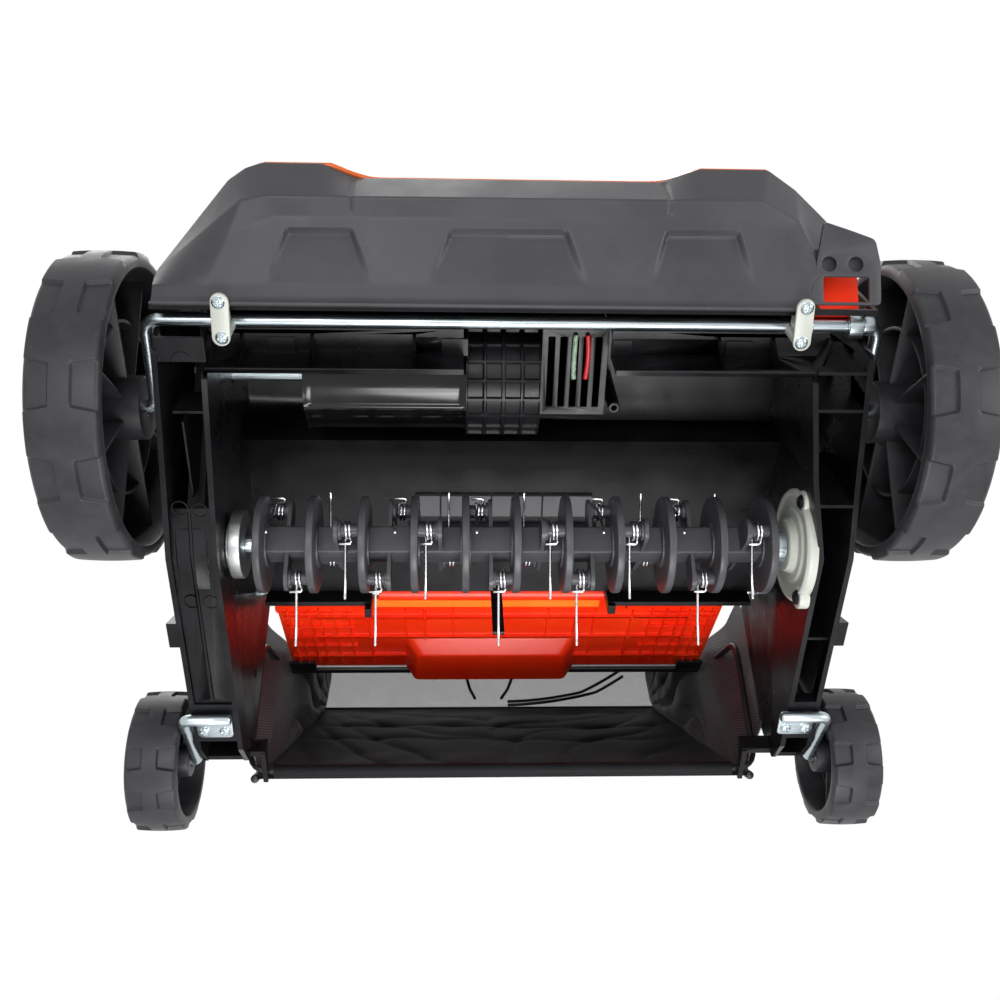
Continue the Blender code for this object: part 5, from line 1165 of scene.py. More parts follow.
@dataclass
class RearAxle:
    """Cranked rods of the rear wheels with their screwed plates."""

    radius: float = 0.004
    seat_y: float = 0.208
    wheelbase: float = 0.263
    arm_x: float = 0.2275
    plate_x: float = 0.207
    rim_z: float = 0.0357

    def shape(self) -> Shape:
        """Right-hand rod and plate."""
        z = self.rim_z - self.radius - 0.0003
        corners = [
            (self.plate_x - 0.0125, self.seat_y, z), (self.arm_x, self.seat_y, z),
            (self.arm_x, self.wheelbase, 0.050), (0.2620, self.wheelbase, 0.050),
        ]
        path = bent(np.array(corners), 0.0055, 10)
        plane = np.cross(np.array(corners[1]) - corners[0], np.array(corners[2]) - corners[1])
        bar = rod(path, self.radius, plane, 24)
        half = [(-0.0125, -0.001), (0.0125, -0.001), (0.0125, 0.018), (-0.0125, 0.018)]
        plate = cut_plate([eased(half, 0.0035)], 0.0022, 0.0005)
        return bar + plate.shifted(self.plate_x, self.seat_y, self.rim_z - 0.0011)

    def screws(self) -> Shape:
        """Pan heads in the right-hand plate."""
        head = screw_head(0.0040, 0.0024)
        y, z = self.seat_y + 0.012, self.rim_z - 0.0022
        return joined(head.placed(posed((self.plate_x + d, y, z), 180)) for d in (-0.007, 0.007))

    def build(self, shop: Workshop) -> None:
        """Make both rods and their screws."""
        shape = self.shape()
        shop.add("rear_axle_rod_right", shape, ZINC, "chassis", ("rear_axle_right",), smooth=45)
        shop.add("rear_axle_rod_left", shape.mirrored(), ZINC, "chassis", ("rear_axle_left",), smooth=45)
        shop.add("rear_axle_screws", both_sides(self.screws()), ZINC, "chassis", smooth=50)


@dataclass
class Motor:
    """Glossy motor can with its ribbed fan case, the grille beside it and the leads."""

    axis: tuple[float, float] = (-0.008, 0.139)
    left_x: float = -0.138
    can_radius: float = 0.038
    can_length: float = 0.107
    case_radius: float = 0.041
    case_length: float = 0.049

    def can(self) -> Shape:
        """Can of radius R - 1.2 mm: r(x, t) rises to R on five narrow ribs along it and at both ends."""
        x = np.linspace(self.left_x, self.left_x + self.can_length, 60)[:, None]
        t = np.linspace(0, 2 * np.pi, 288, endpoint=False)
        ribs = smoothstep((np.cos(5 * t + 0.4) - 0.93) / 0.05)
        ends = smoothstep(1 - np.minimum(x - self.left_x, self.left_x + self.can_length - x) / 0.004)
        r = self.can_radius - 0.0012 * (1 - np.maximum(ribs, ends))
        return self.drum(x, r, t, self.can_radius)

    def case(self) -> Shape:
        """Fan case of radius R - 1.8 mm, with a square net of ribs that reach R."""
        start = self.left_x + self.can_length
        x = np.linspace(start, start + self.case_length, 80)[:, None]
        t = np.linspace(0, 2 * np.pi, 320, endpoint=False)
        rings = smoothstep((np.cos(2 * np.pi * (x - start) / (self.case_length / 4)) - 0.80) / 0.1)
        ribs = smoothstep((np.cos(20 * t) - 0.84) / 0.08)
        r = self.case_radius - 0.0018 * (1 - np.maximum(rings, ribs))
        return self.drum(x, r, t, self.case_radius)

    def drum(self, x: Array, r: Array, t: Array, rim: float) -> Shape:
        """Closed body whose wall is r(x, t), with flat ends that have an eased rim."""
        y, z = self.axis
        x, r, t = np.broadcast_arrays(x, r, t[None, :])
        cap = ((0.0, 0.0), (0.0, rim * 0.3), (0.0, rim - 0.003), (0.0003, rim - 0.0022))
        xs = np.vstack([x[:1] + a for a, _ in cap] + [x] + [x[-1:] - a for a, _ in cap[::-1]])
        flat = [np.full_like(x[:1], b) for _, b in cap]
        rs = np.vstack([*flat, r, *flat[::-1]])
        return net(np.stack((xs, y + rs * np.cos(t[:1]), z + rs * np.sin(t[:1])), axis=-1), False, True)

    def leads(self, x: float, bow: float) -> Shape:
        """One lead that runs across the front half of the grille in a slow bow."""
        s = np.linspace(0, 1, 30)
        arch = np.sin(np.pi * s)
        path = np.stack((x + bow * arch, -0.0500 + 0.031 * s, 0.1085 - 0.0008 * arch), axis=1)
        return rod(path, 0.0016, (0, 0, 1), 12)

    def build(self, shop: Workshop) -> None:
        """Make can, case, grille and leads."""
        shop.add("motor_can", self.can(), MOTOR_BLACK, "chassis", ("motor_housing",), smooth=50)
        shop.add("fan_case", self.case(), DECK_BLACK, "chassis", smooth=50)
        shop.refine("vent_grille", DECK_BLACK, "chassis", 0.0004)
        shop.add("motor_lead_red", self.leads(0.0478, 0.0008), LEAD_RED, "chassis", smooth=60)
        shop.add("motor_lead_green", self.leads(0.0400, -0.0006), LEAD_GREEN, "chassis", smooth=60)
        shop.keep("motor_rotor", ZINC)


@dataclass
class TineRoller:
    """Square core with discs, lobed carriers, studs and twenty spring tines."""

    middle_x: float = 0.003
    pitch: float = 0.034
    discs: int = 11
    disc_radius: float = 0.033
    disc_thickness: float = 0.005
    core_half: float = 0.0095
    orbit: float = 0.0245
    stud_radius: float = 0.0045
    lobe_radius: float = 0.0085
    first_angle: float = -55.0
    wire: float = 0.0009
    coil_pitch: float = 0.0024
    leg: float = 0.034
    tip: float = 0.012
    tip_bend: float = 12.0

    def disc_x(self, k: int) -> float:
        """Middle of a disc."""
        return self.middle_x + (k - (self.discs - 1) / 2) * self.pitch

    @staticmethod
    def around(radius: float, degrees: float) -> tuple[float, float]:
        """Place (y, z) at a distance and an angle from the roller's axis."""
        a = math.radians(degrees)
        return ROLLER_Y + radius * math.cos(a), ROLLER_Z + radius * math.sin(a)

    def stud(self, row: int) -> Array:
        """Centre (y, z) of a row's studs."""
        return np.array(self.around(self.orbit, self.first_angle - 90.0 * row))

    @staticmethod
    def rows_at(k: int) -> tuple[int, int]:
        """Rows whose tines sit left and right of the carrier in interval k."""
        return ((2, 0), (3, 1), (0, 2), (1, 3))[k % 4]

    def ring(self, x0: float, x1: float, bore: float, radius: float, ease: float, sides: int = 64) -> Shape:
        """Ring round the roller's axis with eased edges."""
        return turned(ring_section(x0, x1, bore, radius), ROLLER_Y, ROLLER_Z, sides, ease, 3)

    def drum(self) -> Shape:
        """Core, discs with their hubs, carriers and studs."""
        half = self.pitch * (self.discs - 1) / 2 + self.disc_thickness / 2
        start = math.radians(45 + self.first_angle)
        square = circle(ROLLER_Y, ROLLER_Z, self.core_half * math.sqrt(2), 4, start)
        parts = [prism(eased(square, 0.0012, 3), self.middle_x - half, self.middle_x + half)]
        t = self.disc_thickness / 2
        for k in range(self.discs):
            x = self.disc_x(k)
            parts.append(self.ring(x - t, x + t, 0.006, self.disc_radius, 0.0009))
            parts.append(self.ring(x - t - 0.0012, x + t + 0.0012, 0.006, 0.0155, 0.0005, 40))
        return joined(parts + [self.carrier(k) for k in range(self.discs - 1)])

    def carrier(self, k: int) -> Shape:
        """Two-lobed plate with a stud on each side, each stud with a shoulder ring at its foot."""
        x = self.disc_x(k) + self.pitch / 2
        first, second = self.rows_at(k)
        turn = self.first_angle - 90.0 * first
        lobes = [
            arc(
                *self.around(self.orbit, a), self.lobe_radius, a - 90, a + 90, 14
            ) for a in (turn, turn + 180.0)
        ]
        parts = [prism(np.vstack(lobes), x - 0.00125, x + 0.00125)]
        gap = self.pitch / 2 - self.disc_thickness / 2
        for row, side in ((first, -1), (second, 1)):
            y, z = self.stud(row)
            ends = sorted((x, x + side * (gap + 0.001)))
            foot = sorted((x + side * 0.001, x + side * 0.0032))
            parts.append(turned(ring_section(*ends, 0.0001, self.stud_radius), y, z, 28, 0.0001, 1))
            parts.append(turned(ring_section(*foot, 0.003, 0.0066), y, z, 28, 0.0005, 2))
        return joined(parts)

    def tine(self, x: float, row: int) -> Shape:
        """Wire tine: a hook beside the stud, a coil and a leg with a bent tip.

        The coil is y + R cos a, z + R sin a round the stud, with x falling evenly.
        """
        centre = np.array((0.0, *self.stud(row)))
        leg_angle = (-30.3, -30.3, -99.3, 149.7)[row]
        hook_angle = (-30.3, -30.3, 149.7, 149.7)[row]
        winding = (-1, -1, 1, 1)[row]
        end = leg_angle - 90.0 * winding
        part = ((end - hook_angle) * winding % 360.0) / 360.0
        turns = part + (1 if part > 0.5 else 2)
        radius = self.stud_radius + 0.0003 + self.wire
        s = np.linspace(0, 1, int(turns * 28))
        a = np.radians(end - winding * 360.0 * turns * (1 - s))
        along = x + self.coil_pitch * turns * (0.5 - s)
        coil = centre + np.stack((along, radius * np.cos(a), radius * np.sin(a)), axis=1)
        hook, leg, tip = (
            np.array((0.0, math.cos(angle), math.sin(angle)))
            for angle in np.radians((hook_angle, leg_angle, leg_angle + self.tip_bend * winding))
        )
        foot = coil[0] * (1, 0, 0) + centre + hook * (radius + 0.0032)
        start = np.array((foot - (0.235 * self.pitch, 0, 0), foot, coil[0] + hook * 0.0001))
        knee = coil[-1] + leg * self.leg
        tail = bent(np.array((coil[-1], knee, knee + tip * self.tip)), 0.004, 5)
        path = np.vstack((bent(start, 0.0013, 6)[:-1], coil, tail[1:]))
        return rod(path, self.wire, path * (0, 1, 1) - centre, 10)

    def build(self, shop: Workshop) -> None:
        """Make the drum, the bearings at its ends and the tines."""
        shop.add("roller_drum_moulding", self.drum(), ROLLER_GREY, "roller", ("roller_drum",), smooth=40)
        shop.keep("roller_shaft", ZINC)
        left = self.ring(-0.1897, -0.1872, 0.0063, 0.0170, 0.0008)
        left += self.ring(-0.1872, -0.1790, 0.0063, 0.0230, 0.0012)
        sleeve = self.ring(0.1777, 0.1868, 0.0063, 0.0135, 0.0012)
        shop.add("left_bearing_ring", left, BEARING_STEEL, "chassis", ("bearing_ring_left",))
        shop.add("right_bearing_sleeve", sleeve, ZINC, "chassis", ("bearing_sleeve_right",))
        shop.add(
            "right_bearing_holder", self.holder(), CREAM_NYLON, "chassis", (
                "bearing_holder_right",
            ), smooth=40
        )
        shop.add("holder_screws", self.holder_screws(), DECK_BLACK, "chassis", smooth=50)
        for k in range(self.discs - 1):
            for which, row in enumerate(self.rows_at(k)):
                word = f"tine_{2 * k + which + 1:02d}"
                shape = self.tine(self.disc_x(k) + (0.28, 0.72)[which] * self.pitch, row)
                shop.add(f"spring_{word}", shape, SPRING, "roller", (word,), smooth=60)

    def lugs(self) -> list[tuple[float, float]]:
        """Places (y, z) of the holder's three screw lugs."""
        return [self.around(0.0375, angle) for angle in (-52.0, 68.0, 188.0)]

    def holder(self) -> Shape:
        """Cream flange with a stepped hub, an outer rim and three screw lugs."""
        wall, face = 0.1997, 0.1922
        profile = [
            (face - 0.005, 0.0063), (face - 0.005, 0.0175), (face, 0.0195), (face, 0.0250),
            (face + 0.0018, 0.0262), (face + 0.0018, 0.0340), (face, 0.0352), (face, 0.0372),
            (face + 0.002, 0.039), (wall, 0.039), (wall, 0.0063),
        ]
        lug = ring_section(face + 0.0005, wall, 0.0001, 0.0078)
        return turned(profile, ROLLER_Y, ROLLER_Z, 96, 0.0007, 2) + joined(
            turned(lug, y, z, 32, 0.0008, 2) for y, z in self.lugs()
        )

    def holder_screws(self) -> Shape:
        """Black pan heads in the holder's lugs."""
        head = screw_head(0.0052, 0.0026)
        return joined(head.placed(posed((0.1927, y, z), -90, "Y")) for y, z in self.lugs())


@dataclass
class Wheel:
    """Hollow plastic wheel whose tread has two rows of trapezoid recesses; sizes for the right-hand side."""

    name: str
    radius: float
    width: float
    inner_x: float
    y: float
    teeth: int
    spokes: int
    tread: float = 0.0035
    wall: float = 0.0016
    depth: float = 0.0022
    tyre_wall: float = 0.011
    web: float = 0.006
    bore: float = 0.0045

    def columns(self, share: Array) -> Array:
        """Angles round the wheel for each row, with lines that keep to the walls of the recesses.

        In a tooth's pitch the lines stand at 0, 0.5 -+ (0.19 + 0.08 share) -+ half a wall, 0.5 and 1, with
        even steps between them, so that a slanting wall is straight.
        """
        half = 0.19 + 0.08 * share[:, None]
        wall = self.wall * self.teeth / (4 * np.pi * self.radius)
        low = (
            0 * half, 0.5 - half - wall, 0.5 - half + wall, 0.5 + 0 * half,
            0.5 + half - wall, 0.5 + half + wall, 1 + 0 * half,
        )
        spans = zip(low, low[1:], (7, 3, 8, 8, 3, 7))
        phase = np.hstack([a + (b - a) * np.arange(n) / n for a, b, n in spans])
        turns = (np.arange(self.teeth)[None, :, None] + phase[:, None, :] - 0.25) / self.teeth
        return 2 * np.pi * turns.reshape(len(share), -1)

    def tread_radius(self, x: Array, t: Array) -> Array:
        """Radius over the tread.

        R - crown - depth recess, where a recess is a trapezoid that is open to the side: its half width
        is 0.19 + 0.08 (distance from the middle) of the pitch, and both rows stand side by side.
        """
        share = np.abs(x / self.width - 0.5) * 2
        phase = (t * self.teeth / (2 * np.pi) + 0.25) % 1.0
        gap = (0.19 + 0.08 * share - np.abs(phase - 0.5)) * 2 * np.pi * self.radius / self.teeth
        recess = smoothstep(gap / self.wall + 0.5) * smoothstep((share - 0.27) / 0.06)
        return self.radius - 0.0010 * share**2 - self.depth * recess

    def tyre(self) -> Shape:
        """Tread, outer face and bowl as one closed surface over (profile, angle)."""
        w, rim = self.width, self.radius - self.tread
        half = np.concatenate(
            (np.linspace(0.03, 0.27, 4), np.linspace(0.29, 0.33, 3), np.linspace(0.40, 0.86, 8))
        )
        edge = np.array((0.0012, 0.0022))
        across = np.concatenate((edge, w / 2 * (1 - half[::-1]), w / 2 * (1 + half), w - edge[::-1]))[:, None]
        outer = np.array((
            (
                w - 0.0002, rim - 0.0012
            ), (w, rim - 0.0030), (w - 0.0002, rim - 0.0075), (w - 0.0030, rim - 0.0105),
            (
                w - 0.0038, rim * 0.80
            ), (w - 0.0045, rim * 0.55), (w - 0.0040, rim * 0.38), (w - 0.0012, rim * 0.34),
            (w - 0.0004, rim * 0.31), (w - 0.0006, rim * 0.16), (w - 0.0008, 0.0),
        ))
        bowl = self.radius - self.tyre_wall
        inner = np.array((
            (w - self.web, 0.0), (w - self.web, bowl - 0.004), (w - self.web - 0.0012, bowl - 0.0008),
            (
                w - self.web - 0.004, bowl
            ), (0.0012, bowl + 0.0006), (0.0003, bowl + 0.0012), (0.0, bowl + 0.0024),
            (0.0, rim - 0.0030), (0.0004, rim - 0.0012),
        ))
        face = between(outer, np.linspace(0, len(outer) - 1, 61))
        share = np.minimum(np.abs(across[:, 0] / w - 0.5) * 2, 1.0)
        t = self.columns(np.concatenate((share, np.ones(len(face) + len(inner)))))
        rows, last = len(across), len(across) + len(face)
        top = self.tread_radius(np.broadcast_to(across, t[:rows].shape), t[:rows])
        top = np.where((across < 0.002) | (across > w - 0.002), top - 0.0007, top)
        x, r = np.vstack((np.zeros((rows, 2)), face, inner)).T[:, :, None] + 0 * t
        x[:rows], r[:rows] = across, top
        x[rows:last] += self.face_relief(face[:, 1:], t[rows:last])
        points = np.stack((self.inner_x + x, self.y + r * np.cos(t), self.radius + r * np.sin(t)), axis=-1)
        return net(points, True, True)

    def face_relief(self, r: Array, t: Array) -> Array:
        """Outward offset of the face: spokes stand 2.2 mm over the band between hub and rim."""
        share = r / self.radius
        band = smoothstep((share - 0.38) / 0.04) * smoothstep((0.80 - share) / 0.04)
        half = 0.0055 + 0.010 * share
        beside = np.abs(((t * self.spokes / (2 * np.pi)) % 1.0) - 0.5) * 2 * np.pi * r / self.spokes
        return -0.0016 * band * (1 - smoothstep((half - beside) / 0.004 + 0.5))

    def ribs(self) -> Shape:
        """Hub, middle ring and spokes inside the bowl."""
        floor = self.width - self.web + 0.0005
        hub = 0.18 * self.radius + 0.004
        bowl = self.radius - self.tyre_wall + 0.001
        middle = (hub + bowl) / 2
        boss = [(0.0002, self.bore), (0.0002, hub - 0.0012), (floor, hub), (floor, self.bore)]
        ring = [
            (0.014, middle - 0.0011), (0.014, middle + 0.0011), (floor, middle + 0.0016),
            (floor, middle - 0.0016)
        ]
        spoke = eased([(0.0105, -0.0010), (floor, -0.0016), (floor, 0.0016), (0.0105, 0.0010)], 0.0006, 2)
        spoke = prism(spoke, hub - 0.002, bowl, Axis.Z)
        rings = turned(
            boss, self.y, self.radius, 48, 0.0008, 3
        ) + turned(ring, self.y, self.radius, 72, 0.0006, 2)
        spokes = joined(
            spoke.placed(posed((0, self.y, self.radius), 360 * k / self.spokes)) for k in range(self.spokes)
        )
        return (rings + spokes).shifted(x=self.inner_x)

    def build(self, shop: Workshop) -> None:
        """Make the wheel on both sides."""
        tyre, ribs = self.tyre(), self.ribs()
        for side, turn in (("left", Shape.mirrored), ("right", Shape.shifted)):
            node = f"{self.name}_{side}"
            shop.add(f"{node}_tyre", turn(tyre), WHEEL_BLACK, node, (node,), smooth=38)
            shop.add(f"{node}_ribs", turn(ribs), WHEEL_BLACK, node, smooth=38)


@dataclass
class Flap:
    """Red-orange rear flap on its pin, with the spring that pulls it down."""

    hinge: tuple[float, float] = (0.198, 0.172)
    angle: float = 25.6
    length: float = 0.135
    half: float = 0.186

    def build(self, shop: Workshop) -> None:
        """Make the flap and finish its pin and spring."""
        shop.refine("rear_flap", FLAP_RED, "flap", 0.0007)
        shop.add("flap_grip", self.grip(), FLAP_RED, "flap", edge=0.0016)
        shop.add("flap_fine_ribs", self.fine_ribs(), FLAP_RED, "flap", edge=0.0003)
        # The strip's lighter orange is a painted glow of light that comes through the flap.
        shop.add("flap_painted_glow_strip", self.strip(), FLAP_PAINTED_GLOW, "flap", edge=0.0003)
        shop.keep("flap_pin", ZINC)
        shop.keep("flap_spring", SPRING)

    def grip(self) -> Shape:
        """Grip boss under the rear edge, wider at its foot than at its face."""
        front, rear, deep = self.length - 0.058, self.length + 0.0018, 0.0155
        foot = [(-0.082, front - 0.004), (0.068, front - 0.004), (0.071, rear), (-0.085, rear)]
        face = [(-0.071, front + 0.010), (0.057, front + 0.010), (0.062, rear), (-0.076, rear)]
        rings = [
            np.insert(eased(loop, 0.007, 5), 2, z, axis=1) for loop, z in ((foot, -0.0010), (face, -deep))
        ]
        body, ring = net(np.stack(rings), False, True), np.arange(len(rings[0]))
        caps = (ring[None], ring[None, ::-1] + len(ring))
        return Shape(body.points, (*body.faces, *caps)).placed(lean(self.angle, *self.hinge))

    def fine_ribs(self) -> Shape:
        """Close net of low ribs at both ends of the plate, and thin ones between."""
        t, low, high = 0.0006, -0.0042, -0.0010
        along = [
            (x - t, x + t, 0.024, self.length - 0.006, low, high)
            for x in (0.0400, 0.0800, 0.1280, 0.1400, 0.1520, 0.1700, 0.1780)
        ]
        across = [(0.124, 0.182, y - t, y + t, low, high) for y in (0.030, 0.054, 0.090)]
        return both_sides(blocks(along + across)).placed(lean(self.angle, *self.hinge))

    def strip(self) -> Shape:
        """Thin strip under the plate beside the hinge, painted a lighter orange as a painted glow of the
        light that comes through there.
        """
        return block(-0.1030, 0.0810, 0.0090, 0.0215, -0.0023, -0.0010).placed(lean(self.angle, *self.hinge))


@dataclass
class Bag:
    """Grass bag of sewn panels on a wire frame: black floor and back, a grey mesh window whose light grey is
    painted backlight, sheer side panels with pale specks of painted light.
    """

    half: float = 0.190
    frame_half: float = 0.194
    wire: float = 0.0025
    cloth: float = 0.0011
    mouth: tuple[float, float] = (0.2845, 0.060)
    hem_half: float = 0.175
    hinge: tuple[float, float] = (0.198, 0.172)
    flap_angle: float = 25.6
    flap_length: float = 0.135
    floor_line: tuple = ((0.2900, 0.0570), (0.3600, 0.1590), (0.4400, 0.2800), (0.5020, 0.3740))
    window_line: tuple = ((0.5020, 0.3740), (0.5070, 0.3980), (0.4820, 0.4380))
    top_line: tuple = ((0.4820, 0.4380), (0.4020, 0.4500), (0.3540, 0.3380), (0.3292, 0.2289))
    corner: tuple[float, float] = (0.2180, 0.1730)

    def strip(self, line: Array, sag: float, ripple: float, columns: int = 96) -> tuple[Shape, Array, float]:
        """Panel across the bag.

        The line (y, z) is carried from side to side. The panel gives from its edges by
        (sag + waves) (1 - u^8) (1 - v^6). The waves are bowed folds across the panel, which grow towards
        its far end, and creases that run out of its far corners: both are 1 - |sin| of a bent distance.

        Args:
            line: Points of the side view.
            sag: How far the middle gives outwards.
            ripple: Height of the waves.
            columns: Steps across.

        Returns:
            The surface, the distance across and along at each point, and its area.
        """
        line = spaced(bent(np.array(line), 0.012, 6), 0.005)
        run = np.concatenate(([0.0], np.cumsum(np.linalg.norm(np.diff(line, axis=0), axis=1))))
        tangent = unit(np.gradient(line, axis=0))
        outward = np.stack((tangent[:, 1], -tangent[:, 0]), axis=1)
        u, v = np.linspace(-1, 1, columns + 1)[None, :], np.linspace(-1, 1, len(line))[:, None]
        edge = (1 - u**8) * (1 - v**6)
        bowed = 1 - np.abs(np.sin(7.5 * (v - 0.16 * (1 - u**2)) + 0.5 * np.sin(3.1 * u + 0.7)))
        turn = np.arctan2(1.25 - v, 1.15 - np.abs(u)) + 0.10 * np.sin(4.0 * u + 2.3 * v)
        creased = 1 - np.abs(np.sin(13.0 * turn + 0.8 * np.sign(u)))
        waves = ripple * (2.0 * bowed**2 * smoothstep((v + 0.5) / 1.0) + 1.2 * creased**3 - 0.8)
        waves += 0.35 * ripple * np.sin(17 * u - 5 * v + 2.0 * np.sin(5 * v + u))
        push = (sag + waves) * edge
        x = np.broadcast_to(u * (self.half - 0.001), push.shape)
        points = np.stack(
            (x, line[:, :1] + push * outward[:, :1], line[:, 1:] + push * outward[:, 1:]), axis=-1
        )
        cloth = np.stack(np.broadcast_arrays(u * self.half, run[:, None]), axis=-1).reshape(-1, 2)
        return net(points), cloth, area_of(points)

    def side(self) -> tuple[Shape, Array, float]:
        """Right side panel between the lower and the upper line.

        It flares towards the deck at the mouth. Behind the flap's sweep it sinks inward and is gathered
        in folds that fan out of the far corner: 1 - |sin| of the angle about that corner, over which runs
        a finer crumple, the product of two bent waves.
        """
        low = np.array((self.corner, (0.2250, 0.1400), (0.2310, 0.1120), (0.2600, 0.0740), *self.floor_line))
        high = np.array((
            self.corner, (
                0.2260, 0.1960
            ), (0.3205, 0.2425), (0.3380, 0.2560), (0.3540, 0.3380), (0.4020, 0.4500),
            (0.4820, 0.4380), (0.5070, 0.3980), self.window_line[0],
        ))
        low, high = (spaced(bent(line, 0.010, 6), 0.004) for line in (low, high))
        at = np.linspace(0, 1, 150)
        low, high = (between(line, at * (len(line) - 1)) for line in (low, high))
        v = np.linspace(0, 1, 90)[:, None, None]
        flat = low[None] * (1 - v) + high[None] * v
        u, w = at[None, :] * 2 - 1, v[..., 0] * 2 - 1
        y, z = flat[..., 0], flat[..., 1]
        far_y, far_z = self.window_line[0]
        angle = np.arctan2(
            far_z - z, far_y - y
        ) + 0.06 * np.sin(31 * y + 13 * z) + 0.04 * np.sin(47 * z - 11 * y + 1.0)
        reach = np.hypot(far_y - y, far_z - z)
        fan = (1 - np.abs(np.sin(12.0 * angle + 0.9))) ** 2 * smoothstep(reach / 0.12)
        fine = np.sin(
            88 * y + 31 * z + 2.2 * np.sin(37 * z)
        ) * np.sin(64 * z - 49 * y + 1.8 * np.sin(29 * y + 1.0))
        sweep = np.hypot(y - self.hinge[0], z - self.hinge[1]) - self.flap_length
        behind = smoothstep((sweep - 0.008) / 0.05)
        edge = (1 - u**6) * (1 - w**8)
        flare = 0.0140 * smoothstep((0.305 - y) / 0.045) * smoothstep((z - 0.058) / 0.03)
        gathered = behind * (0.013 * fan - 0.010 + 0.0014 * fine) + (1 - behind) * 0.0012 * fan
        x = self.half - 0.0013 + flare + edge * gathered
        points = np.stack((x, y, z), axis=-1)
        return net(points), flat.reshape(-1, 2), area_of(points)

    def frame(self) -> Shape:
        """Closed wire loop round the mouth and the two tabs for the flap's corners."""
        half = self.frame_half
        knee = (0.2385, 0.157)
        side = [self.mouth, knee, self.bar()]
        corners = [(half, *p) for p in side] + [(-half, *p) for p in side[::-1]]
        loop = eased(np.array(corners), 0.016, 8)
        path = spaced(np.vstack((loop, loop[:1])), 0.004)[:-1]
        wire_loop = rod(path, self.wire, (0, 0.85, -0.52), 16, loop=True)
        tab = eased([(0.1235, -0.0046), (0.1402, -0.0046), (0.1402, -0.0018), (0.1235, -0.0018)], 0.0006, 2)
        tabs = both_sides(prism(tab, 0.165, 0.189)).placed(lean(self.flap_angle, *self.hinge))
        return wire_loop + tabs

    def bar(self) -> tuple[float, float]:
        """Place (y, z) of the frame's upper bar, behind the flap's grip."""
        along = self.flap_length + 0.0025 + self.wire
        place = lean(self.flap_angle, *self.hinge) @ Vector((0, along, -self.wire - 0.0003))
        return place.y, place.z

    def hem(self) -> Shape:
        """Clip round the lower bar, open above, with a lip along its front edge."""
        y, z = self.mouth
        near, far = self.wire + 0.0003, self.wire + 0.0003 + 0.0022
        outline = np.vstack((arc(y, z, far, 150, 390, 30), arc(y, z, near, 390, 150, 30)))
        return prism(outline, -self.hem_half, self.hem_half)

    def build(self, shop: Workshop) -> None:
        """Make the panels, their seams, the frame and the hem clip."""
        panels = (
            ("bag_floor_panel", self.floor_line, BAG_CLOTH, 0.006, 0.0022, ("bag_fabric",)),
            # The window's light grey mesh is painted backlight.
            ("bag_window_panel", self.window_line, MESH_CLOTH_PAINTED_BACKLIGHT, 0.002, 0.0008, ()),
            ("bag_top_panel", self.top_line, BAG_CLOTH, -0.004, 0.0016, ()),
        )
        seams = self.seams(shop)
        for name, line, finish, sag, ripple, nodes in panels:
            shape, cloth, area = self.strip(line, sag, ripple)
            piece = shop.add(
                name, shape, finish, "chassis", nodes, wall=self.cloth, facing=(
                    0, 1, -0.3 if sag > 0 else 1.0
                ),
                smooth=80, cloth=cloth,
            )
        right, cloth, area = self.side()
        # The side panels' pale specks are painted light seen through the sheer cloth.
        for word, shape, facing in (("right", right, 1), ("left", right.mirrored(), -1)):
            piece = shop.add(
                f"bag_side_panel_{word}", shape, SIDE_CLOTH_PAINTED_SPECKS, "chassis", wall=self.cloth, facing=(
                    facing, 0, 0
                ),
                smooth=80, cloth=cloth,
            )
        shop.add("bag_frame_wire", self.frame(), POWDER_BLACK, "chassis", ("bag_frame",), smooth=45)
        shop.add("bag_hem_clip", self.hem(), HEM_GREY, "chassis", ("bag_hem_bar",), edge=0.0004)
        shop.add("bag_straps", self.straps(), WEBBING, "chassis", smooth=60)

    def straps(self) -> Shape:
        """Two short straps and a pair of bowed cords inside the window."""
        lines = [
            np.array(((-0.0277, 0.4855, 0.4189), (-0.0222, 0.4925, 0.3970), (-0.0166, 0.4905, 0.3790))),
            np.array(((0.0293, 0.4855, 0.4204), (0.0210, 0.4925, 0.3980), (0.0127, 0.4905, 0.3790))),
        ]
        s = np.linspace(0, 1, 40)
        for low, high in ((0.3790, 0.4230), (0.3720, 0.4150)):
            z = low + (high - low) * s**1.8
            y = np.interp(z, (0.374, 0.398, 0.438), (0.4940, 0.4985, 0.4760))
            lines.append(np.stack((0.020 + 0.135 * s, y, z), axis=1))
        return joined(rod(spaced(line, 0.004), 0.0017, (0, 1, 0), 12) for line in lines)

    def seams(self, shop: Workshop) -> list[bpy.types.Object]:
        """Webbing over the seams: along both side edges and across at both ends of the window."""
        outline = np.array((*self.floor_line, *self.window_line[1:], *self.top_line[1:]))
        line = spaced(bent(outline, 0.012, 6), 0.004)
        rows = [
            (f"bag_edge_binding_{word}", np.column_stack((np.full(len(line), x), line)), 0.0032, (1, 0, 0))
            for word, x in (("left", -self.half), ("right", self.half))
        ]
        rows += [
            (
                f"bag_window_seam_{word}", np.linspace((-self.half, *end), (self.half, *end), 80), 0.0030,
                (0, 0, 1)
            )
            for word, end in (("lower", self.window_line[0]), ("upper", self.window_line[-1]))
        ]
        return [
            shop.add(name, rod(path, radius, square, 12), WEBBING, "chassis", smooth=60)
            for name, path, radius, square in rows
        ]


def area_of(points: Array) -> float:
    """Area of a grid: half the cross product of each cell's diagonals, added up."""
    across, along = points[1:, 1:] - points[:-1, :-1], points[1:, :-1] - points[:-1, 1:]
    return float(np.linalg.norm(np.cross(across, along), axis=-1).sum() / 2)


